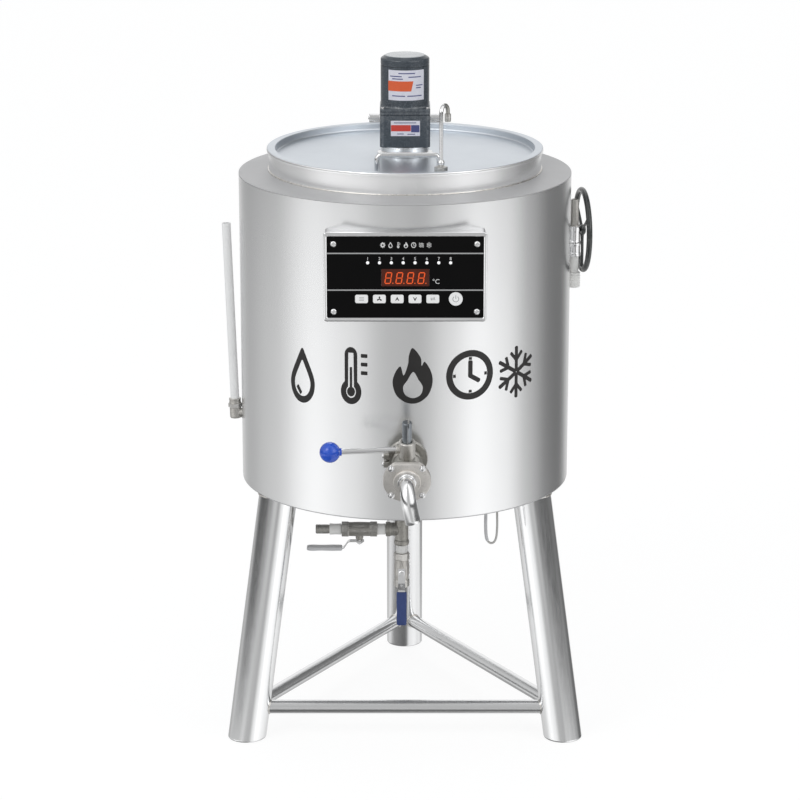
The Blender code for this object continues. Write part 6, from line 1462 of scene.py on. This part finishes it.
outletSizes = {"ball": 0.0205, "stem": 0.0085, "stemTop": 0.0955, "leverLevel": 0.042, "leverTurn": 5,
               "leverRod": 0.0048, "leverEnd": 0.1262, "grip": 0.018, "gripNeck": 0.0068, "gripCentre": 0.133,
               "flange": 0.0415, "flangeCut": 0.0352, "flangeBack": 0.064, "flangeFront": 0.073,
               "nutGrid": 0.054, "spoutStart": -0.0776, "spoutLevel": 0.004, "spoutBend": 0.034,
               "spoutTurn": 75, "spoutEnd": 0.03, "spoutSide": 0.011, "spout": 0.0135, "spoutBore": 0.0115,
               "spoutNeck": 0.0004,
               # width, height, corner, foot, head and edge
               "slot": (0.0028, 0.03, 0.0002, 0.0875, 0.099, 0.0001),
               "clamp": (0.012, 0.01, 0.003, -0.006, 0.0035, 0.0008), "clampPlace": (-0.037, -0.004),
               "clampLevels": (0.01, -0.006)}


def buildOutlet():
    turnedPiece("outletPipe", [(outletShapes["pipe"], 72, outlet @ backward)], "castDark", "outlet_pipe")
    turnedPiece("outletBody", [(outletShapes["body"], 72, outlet @ forward, 0, 7),
                               (outletShapes["stemSeat"], 48, lever)], "castDark", "outlet_body")


def ballProfile(radius, steps, kept):
    angles = [math.pi * step / steps for step in range(kept)]
    return [(radius * math.sin(a), -radius * math.cos(a)) for a in angles]


def buildOutletLever():
    stem, top = outletSizes["stem"], outletSizes["stemTop"]
    form = bmesh.new()
    lathe(form, ballProfile(outletSizes["ball"], 24, 19)
          + softCorners([(stem, 0.0195, 0), (stem, top, 0.0016), (0, top, 0)], False), 48, lever)
    slot = bmesh.new()
    roundedSlab(slot, *outletSizes["slot"], lever @ shift(0.0025, 0, 0), 0, 2)
    finishPiece("outletStem", form, "stemSteel", "outlet_ball", "outlet_handle", cutter=slot)
    outward = lever @ shift(0, 0, outletSizes["leverLevel"]) @ turn(outletSizes["leverTurn"], "Z") @ leftward
    form = bmesh.new()
    turned(form, outletShapes["leverHub"], 64, lever, soft=7)
    turned(form, outletShapes["leverRoot"], 32, outward)
    rod(form, outletSizes["leverRod"], 0.01, outletSizes["leverEnd"], 0.0004, 32, outward, 1)
    finishPiece("outletLever", form, "cast bright", "outlet_lever", "outlet_handle")
    ball, neck, centre = pick(outletSizes, "grip gripNeck gripCentre")
    first = math.asin(neck / ball)
    profile = [(0, centre - 0.006), (0.0051, centre - 0.006), (0.0051, centre - 0.02),
               (neck - 0.0005, centre - 0.02), (neck, centre - 0.0195)]
    for step in range(33):
        angle = first + (math.pi - first) * step / 32
        profile.append((ball * math.sin(angle) if step < 32 else 0, centre - ball * math.cos(angle)))
    form = bmesh.new()
    lathe(form, profile, 56, outward)
    grip = finishPiece("leverGrip", form, "bluePlastic", "lever_grip", "outlet_handle")
    grip.visible_glossy = False  # the photo shows no blue in the wall behind it


def buildFlange():
    wide, cut, back, front = pick(outletSizes, "flange flangeCut flangeBack flangeFront")
    section = ((0.0115, back), (wide - 0.0007, back), (wide, back + 0.0008), (wide, front - 0.0016),
               (wide - 0.0006, front - 0.0004), (wide - 0.0017, front), (0.024, front),
               (0.024, front + 0.003), (0.023, front + 0.004), (0.0115, front + 0.004))
    rings = [[(x, min(up, cut - wide + radius) if radius > 0.03 else up, level)
              for x, up in circle(radius, 96)] for radius, level in section]
    form = bmesh.new()
    stack(form, rings, outlet @ forward, 0, True)
    finishPiece("outletFlange", form, "flangeSteel", "outlet_flange")
    form = bmesh.new()
    turned(form, outletShapes["flangeNut"], 32, soft=6)
    grid = outletSizes["nutGrid"]
    repeated("flangeNuts", form, gridTree, {"Columns": 2, "Rows": 2, "Width": grid, "Height": grid,
                                            "Centre": (0, 0, front)}, "bright", outlet @ forward)
    form = bmesh.new()
    for level in outletSizes["clampLevels"]:
        where = outlet @ shift(*outletSizes["clampPlace"], level) @ leftward
        roundedSlab(form, *outletSizes["clamp"], where, 0, 4)
        turned(form, outletShapes["clampBolt"], 24, where, 1, 6)
    finishPiece("clampBolts", form, "castDark bright")


def buildSpout():
    start, level, bend, degrees, run = pick(outletSizes, "spoutStart spoutLevel spoutBend spoutTurn spoutEnd")
    wide, side, neck = pick(outletSizes, "spout spoutSide spoutNeck")
    bendStart, angle = start - 0.006, math.radians(degrees)
    path = [Vector((0, y, level)) for y in (start, start - 0.003, bendStart)]
    path += arcOf((0, bendStart, level - bend), (0, 0, 1), (0, -1, 0), bend, degrees, 24)[1:]
    end, down = path[-1], Vector((0, -math.cos(angle), -math.sin(angle)))
    path += [end + down * run * share for share in (0.2, 0.4, 0.6, 0.8, 0.97, 1.0)]
    travelled = [0.0]
    for before, after in zip(path, path[1:]):
        travelled.append(travelled[-1] + (after - before).length)
    for point, far in zip(path, travelled):
        point.x = side * (far / travelled[-1]) ** 2
    radii = [wide - neck * max(0, 1 - abs(far - 0.03) / 0.02) for far in travelled]
    radii[-1] = wide - neck
    form = bmesh.new()
    sweep(form, path, radii, 56, outlet, hint=(1, 0, 0), bore=outletSizes["spoutBore"])
    turned(form, outletShapes["collar"], 56, outlet @ shift(0, 0, level) @ forward, soft=6)
    finishPiece("outletSpout", form, "bright", "spout")


buildOutlet()
buildOutletLever()
buildFlange()
buildSpout()
print("outlet is built")

# ---- level tube, inlet valve and drain -----------------------------------------------------------

levelSizes = {"x": -0.312, "z": 0.5722, "drop": 0.009, "tilt": -1.9, "cup": 0.0368, "top": 0.93,
              "nut": (0.0128, 0.02, 0.028, 0.001)}


def buildLevelTube():
    x, z, drop, high = pick(levelSizes, "x z drop cup")
    tilt = tank @ shift(x, 0, z - drop) @ turn(levelSizes["tilt"], "Y")
    pipe = [(0.005, 0.004, 0), (0.009, 0.004, 0.0006), (0.009, 0.0385, 0), (0.005, 0.0385, 0)]
    cup = [(0, 0, 0), (0.0105, 0, 0.0022), (0.0105, high, 0.0008), (0.0083, high, 0.0004),
           (0.0083, high - 0.011, 0), (0, high - 0.011, 0)]
    turnedPiece("levelElbow", [(pipe, 40, tank @ shift(x, 0, z) @ rightward), (cup, 48, tilt)], "cast",
                "level_elbow")
    form = bmesh.new()
    hexagon(form, *levelSizes["nut"], tilt)
    for low in (0.0275, 0.0345):
        turned(form, bush(0.0078, 0.0109, low, low + 0.0028), 40, tilt)
    finishPiece("levelNut", form, "cast")
    length = (levelSizes["top"] - z + drop) / math.cos(math.radians(levelSizes["tilt"]))
    tube = [(0.0062, 0.0253, 0), (0.008, 0.0253, 0), (0.008, length, 0.0007), (0.0062, length, 0.0005)]
    turnedPiece("levelTube", [(tube, 40, tilt)], "whiteTube", "level_tube")


inletShapes = {
    "body": [(0.005, 0.8602, 0), (0.0112, 0.8602, 0.0012), (0.0112, 0.866, 0.0008), (0.0104, 0.8675, 0.001),
             (0.0104, 0.906, 0.001), (0.0112, 0.908, 0.001), (0.0112, 0.9168, 0.0014), (0.005, 0.9168, 0)],
    "pipe": [(0.004, 0.006, 0), (0.009, 0.006, 0), (0.009, 0.039, 0), (0.004, 0.039, 0)],
    "riser": [(0.005, 0.912, 0), (0.0088, 0.912, 0), (0.0092, 0.918, 0.0008), (0.0074, 0.9192, 0.0004),
              (0.0072, 0.9645, 0.0008), (0.0066, 0.9658, 0.0004), (0.005, 0.9658, 0)],
    "nipple": [(0.005, 0.8599, 0), (0.008, 0.8599, 0), (0.008, 0.8301, 0.001), (0.0106, 0.8301, 0.0008),
               (0.0106, 0.802, 0.0008), (0.005, 0.802, 0)],
    "wheelHub": [(0, -0.0135, 0), (0.0035, -0.0135, 0.0004), (0.0035, -0.0025, 0), (0.0095, -0.0025, 0.0008),
                 (0.0095, 0.0035, 0.0012), (0.0068, 0.0057, 0.001), (0.0046, 0.0057, 0), (0.004, 0.0046, 0),
                 (0, 0.0046, 0)],
}
inletSizes = {"x": 0.3125, "pipeLevel": 0.8848, "bulb": (0.0107, 0.0125), "bulbEnd": 0.006,
              "bulbHalf": 0.0118, "wheelX": 0.3265, "wheelLevel": 0.9088, "rim": 0.0725, "rimWire": 0.0055,
              "thread": {"Turns": 5.0, "Radius": 0.0106, "Length": 0.023, "Bead": 0.0012},
              "threadFoot": 0.8046}


def buildInlet():
    where, level = inletSide @ shift(inletSizes["x"], 0, 0), inletSizes["pipeLevel"]
    wide, high = inletSizes["bulb"]
    end, half = inletSizes["bulbEnd"], inletSizes["bulbHalf"]
    form = bmesh.new()
    turned(form, inletShapes["body"], 56, where)
    bulb = [(wide * math.sin(a) + 0.0006, level - high * math.cos(a)) for a in
            [math.pi * step / 16 for step in range(1, 16)]]
    lathe(form, [(end, level - half)] + bulb + [(end, level + half)], 56, where)
    turned(form, inletShapes["pipe"], 40, where @ shift(0, 0, level) @ leftward)
    finishPiece("inletBody", form, "bright", "inlet_body")
    turnedPiece("inletRiser", [(inletShapes["riser"], 40, where)], "cast")
    turnedPiece("inletNipple", [(inletShapes["nipple"], 48, where)], "tape", "inlet_nipple")
    growPattern("nippleThread", threadTree, inletSizes["thread"], "tape",
                where @ shift(0, 0, inletSizes["threadFoot"]),
                sharp=60)


def buildWheel():
    where = inletSide @ shift(inletSizes["wheelX"], 0, inletSizes["wheelLevel"]) @ rightward
    form = bmesh.new()
    rim = [(u, v if v > 0 else v * 0.92) for u, v in circle(inletSizes["rimWire"], 24, inletSizes["rim"])]
    lathe(form, rim, 128, where)
    turned(form, inletShapes["wheelHub"], 48, where)
    finishPiece("wheelRim", form, "darkWheel", "handwheel", "wheel")
    path = [(0.0065, 0, 0), (0.018, 0, 0.0002), (0.04, 0, 0.0006), (0.06, 0, 0.0004), (0.0705, 0, 0)]
    form = bmesh.new()
    sweep(form, path, [0.0034, 0.0028, 0.0026, 0.0028, 0.0036], 20)
    repeated("wheelSpokes", form, ringTree, {"Count": 3, "Radius": 0.0, "Start Angle": math.radians(240)},
             "darkWheel", where, "wheel")


drainShapes = {
    "pipe": [(0.006, 0.3262, 0), (0.0085, 0.3262, 0), (0.0085, 0.5, 0), (0.006, 0.5, 0)],
    "tee": [(0.006, 0.35, 0), (0.0128, 0.35, 0.0008), (0.0135, 0.353, 0.001), (0.0135, 0.358, 0.001),
            (0.0122, 0.36, 0.001), (0.0122, 0.398, 0.001), (0.0135, 0.4, 0.001), (0.0135, 0.408, 0.001),
            (0.006, 0.408, 0)],
    "branch": [(0.006, 0.006, 0), (0.012, 0.006, 0), (0.0122, 0.02, 0.001), (0.0135, 0.0215, 0.001),
               (0.0135, 0.029, 0.001), (0.006, 0.029, 0)],
    "branchPipe": [(0.006, 0.0285, 0), (0.0085, 0.0285, 0), (0.0085, 0.053, 0), (0.006, 0.053, 0)],
    "riser": [(0.006, 0.408, 0), (0.0105, 0.408, 0), (0.0105, 0.5, 0), (0.006, 0.5, 0)],
    "tape": [(0.0084, 0.0292, 0), (0.0103, 0.0298, 0.001), (0.01, 0.037, 0.001), (0.0105, 0.0446, 0.001),
             (0.0084, 0.0449, 0)],
}


def buildDrain():
    where = tank @ shift(-0.006, -0.1, 0)
    branchLevel = 0.379  # as in the side valve's frame
    branch = where @ shift(0, 0, branchLevel) @ leftward
    turnedPiece("drainTee", [(drainShapes["pipe"], 40, where), (drainShapes["tee"], 48, where),
                             (drainShapes["branch"], 48, branch), (drainShapes["branchPipe"], 40, branch),
                             (drainShapes["riser"], 40, where)], "castDark", "drain_tee")
    below = [(radius, branchLevel - far, soft) for radius, far, soft in drainShapes["tape"]]
    turnedPiece("threadTape", [(drainShapes["tape"], 36, branch), (below, 36, where)], "tape")


valveSizes = {"length": 0.065, "stemX": 0.0325, "ball": 0.01, "stem": 0.003, "stemTop": 0.029, "sheet": 0.002,
              "stripLow": 0.0215, "stripHigh": 0.035, "stripHalf": 0.0065, "edge": 0.0004,
              "nut": (0.0058, 0.0238, 0.0268, 0.0006), "sleeve": (0.0072, 0.0185, 0.003)}
valveShapes = {
    "body": [(0.0087, 0, 0), (0.0145, 0, 0.001), (0.0145, 0.012, 0.0012), (0.0124, 0.015, 0.002),
             (0.0138, 0.024, 0.006), (0.0138, 0.041, 0.006), (0.0124, 0.05, 0.002), (0.0145, 0.053, 0.0012),
             (0.0145, 0.065, 0.001), (0.0087, 0.065, 0)],
    "belly": [(0.0087, 0.013, 0), (0.0128, 0.013, 0.001), (0.0133, 0.0325, 0.012), (0.0128, 0.052, 0.001),
              (0.0087, 0.052, 0)],
    "neck": [(0.0033, 0.008, 0), (0.007, 0.008, 0), (0.007, 0.0168, 0.0008), (0.006, 0.018, 0),
             (0.006, 0.02, 0.0005), (0.0033, 0.02, 0)],
    "washer": [(0.0031, 0.0234, 0), (0.0062, 0.0234, 0.0002), (0.0062, 0.024, 0.0002), (0.0031, 0.024, 0)],
    "tape": [(0.0078, 0.0655, 0), (0.0102, 0.066, 0.001), (0.0098, 0.077, 0.002), (0.0104, 0.087, 0.001),
             (0.0078, 0.0875, 0)],
    # how far along the lever each ring of its sleeve lies, and how much wider it is there
    "sleeve": ((0.032, -0.0014), (0.0326, -0.0004), (0.034, 0), (0.05, 0.0002), (0.07, -0.0003),
               (0.086, 0.0002), (0.093, -0.0002), (0.0956, -0.001), (0.0965, -0.0024)),
}
tailThread = {"Turns": 11.0, "Radius": 0.0081, "Length": 0.0215, "Bead": 0.0007}


def buildSmallValve(label, where, tail, bodyLook, sleeveLook):
    across = where @ rightward
    stem = where @ shift(valveSizes["stemX"], 0, 0)
    length = valveSizes["length"]
    rows = [(valveShapes["body"], 8, across, 0, 6), (valveShapes["belly"], 48, across, 0, 6),
            (valveShapes["neck"], 32, stem)]
    if tail:
        start, end = length - 0.004, length + tail
        rows.append(([(0.006, start, 0), (0.008, start, 0), (0.008, end, 0.0008), (0.006, end, 0)], 36,
                     across))
    turnedPiece(label + "Body", rows, bodyLook, label + "_valve_body")
    if tail:
        turnedPiece(label + "Tape", [(valveShapes["tape"], 36, across)], "tape")
        growPattern(label + "Thread", threadTree, tailThread, "castDark",
                    across @ shift(0, 0, length + 0.0245), sharp=60)
    body = label + "_handle"
    form = bmesh.new()
    thin, top = valveSizes["stem"], valveSizes["stemTop"]
    lathe(form, ballProfile(valveSizes["ball"], 16, 14)
          + softCorners([(thin, 0.0098, 0), (thin, top, 0.0005), (0, top, 0)], False), 32, stem)
    hexagon(form, *valveSizes["nut"], stem)
    turned(form, valveShapes["washer"], 32, stem)
    finishPiece(label + "Stem", form, "bright", label + "_valve_ball", body)
    low, high, sheet, half, soft = pick(valveSizes, "stripLow stripHigh sheet stripHalf edge")
    middle = softCorners([(-0.0085, low, 0), (0.02, low, 0.006), (0.029, high, 0.006), (0.093, high, 0)],
                         False, 6)
    rings = []
    for order, (x, level) in enumerate(middle):
        wide = half * (1.0 if 0 < order < len(middle) - 1 else 0.75)
        near, top = level + soft, level + sheet
        rings.append([(x, -wide, near), (x, soft - wide, level), (x, wide - soft, level), (x, wide, near),
                      (x, wide, top - soft), (x, wide - soft, top), (x, soft - wide, top),
                      (x, -wide, top - soft)])
    form = bmesh.new()
    stack(form, rings, stem)
    finishPiece(label + "Strip", form, "bright", label + "_valve_lever", body)
    width, height, corner = valveSizes["sleeve"]
    rings = []
    for far, grow in valveShapes["sleeve"]:
        rings += outlineRings(width + 2 * grow, height + 2 * grow, corner + min(grow, 0), [(0, far)], 6)
    form = bmesh.new()
    stack(form, rings, stem @ shift(0, 0, high + sheet / 2) @ rightward)
    finishPiece(label + "Sleeve", form, sleeveLook, label + "_valve_sleeve", body)


leadSizes = {"y": -0.2, "wire": 0.002, "sleeve": [0.0029] * 20 + [0.0026, 0.0021],
             "route": [(0.1452, 0.4612), (0.145, 0.445), (0.1447, 0.42), (0.1456, 0.401), (0.148, 0.391),
                       (0.1525, 0.386), (0.1575, 0.3858), (0.162, 0.3905), (0.1645, 0.4005), (0.1655, 0.42),
                       (0.165, 0.445), (0.165, 0.4612)]}


def buildLead():
    core, sleeve = pick(leadSizes, "wire sleeve")
    points = [Vector((x, leadSizes["y"], z)) for x, z in leadSizes["route"]]
    held = points[:1] + points + points[-1:]
    path = [splinePoint(*held[order:order + 4], step / 5) for order in range(len(points) - 1)
            for step in range(5)]
    path.append(points[-1])
    form = bmesh.new()
    sweep(form, path, core, 16, tank, hint=(0, 1, 0))
    sweep(form, path[:len(sleeve)], sleeve, 16, tank, 1, hint=(0, 1, 0))
    finishPiece("sensorLead", form, "leadSheath greyVinyl", "sensor_lead")


buildLevelTube()
buildInlet()
buildWheel()
buildDrain()
buildSmallValve("side", sideValve, 0.0475, "castDark", "greyVinyl")
buildSmallValve("drain", drainValve, 0, "cast", "blueVinyl")
buildLead()
print("pipes and valves are built")

# ---- solids that stay as they are, in their own finishes -----------------------------------------

keptLooks = {"jacket_shell": "shoulderSteel", "insulation": "wool", "heating_element": "copperRod",
             "temperature_probe": "bright", "face_panel": "blackFace", "display_board": "displayGlass"}
for name, look in keptLooks.items():
    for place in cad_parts[name].material_slots:
        place.material = finishes[look]

print("scene is complete")
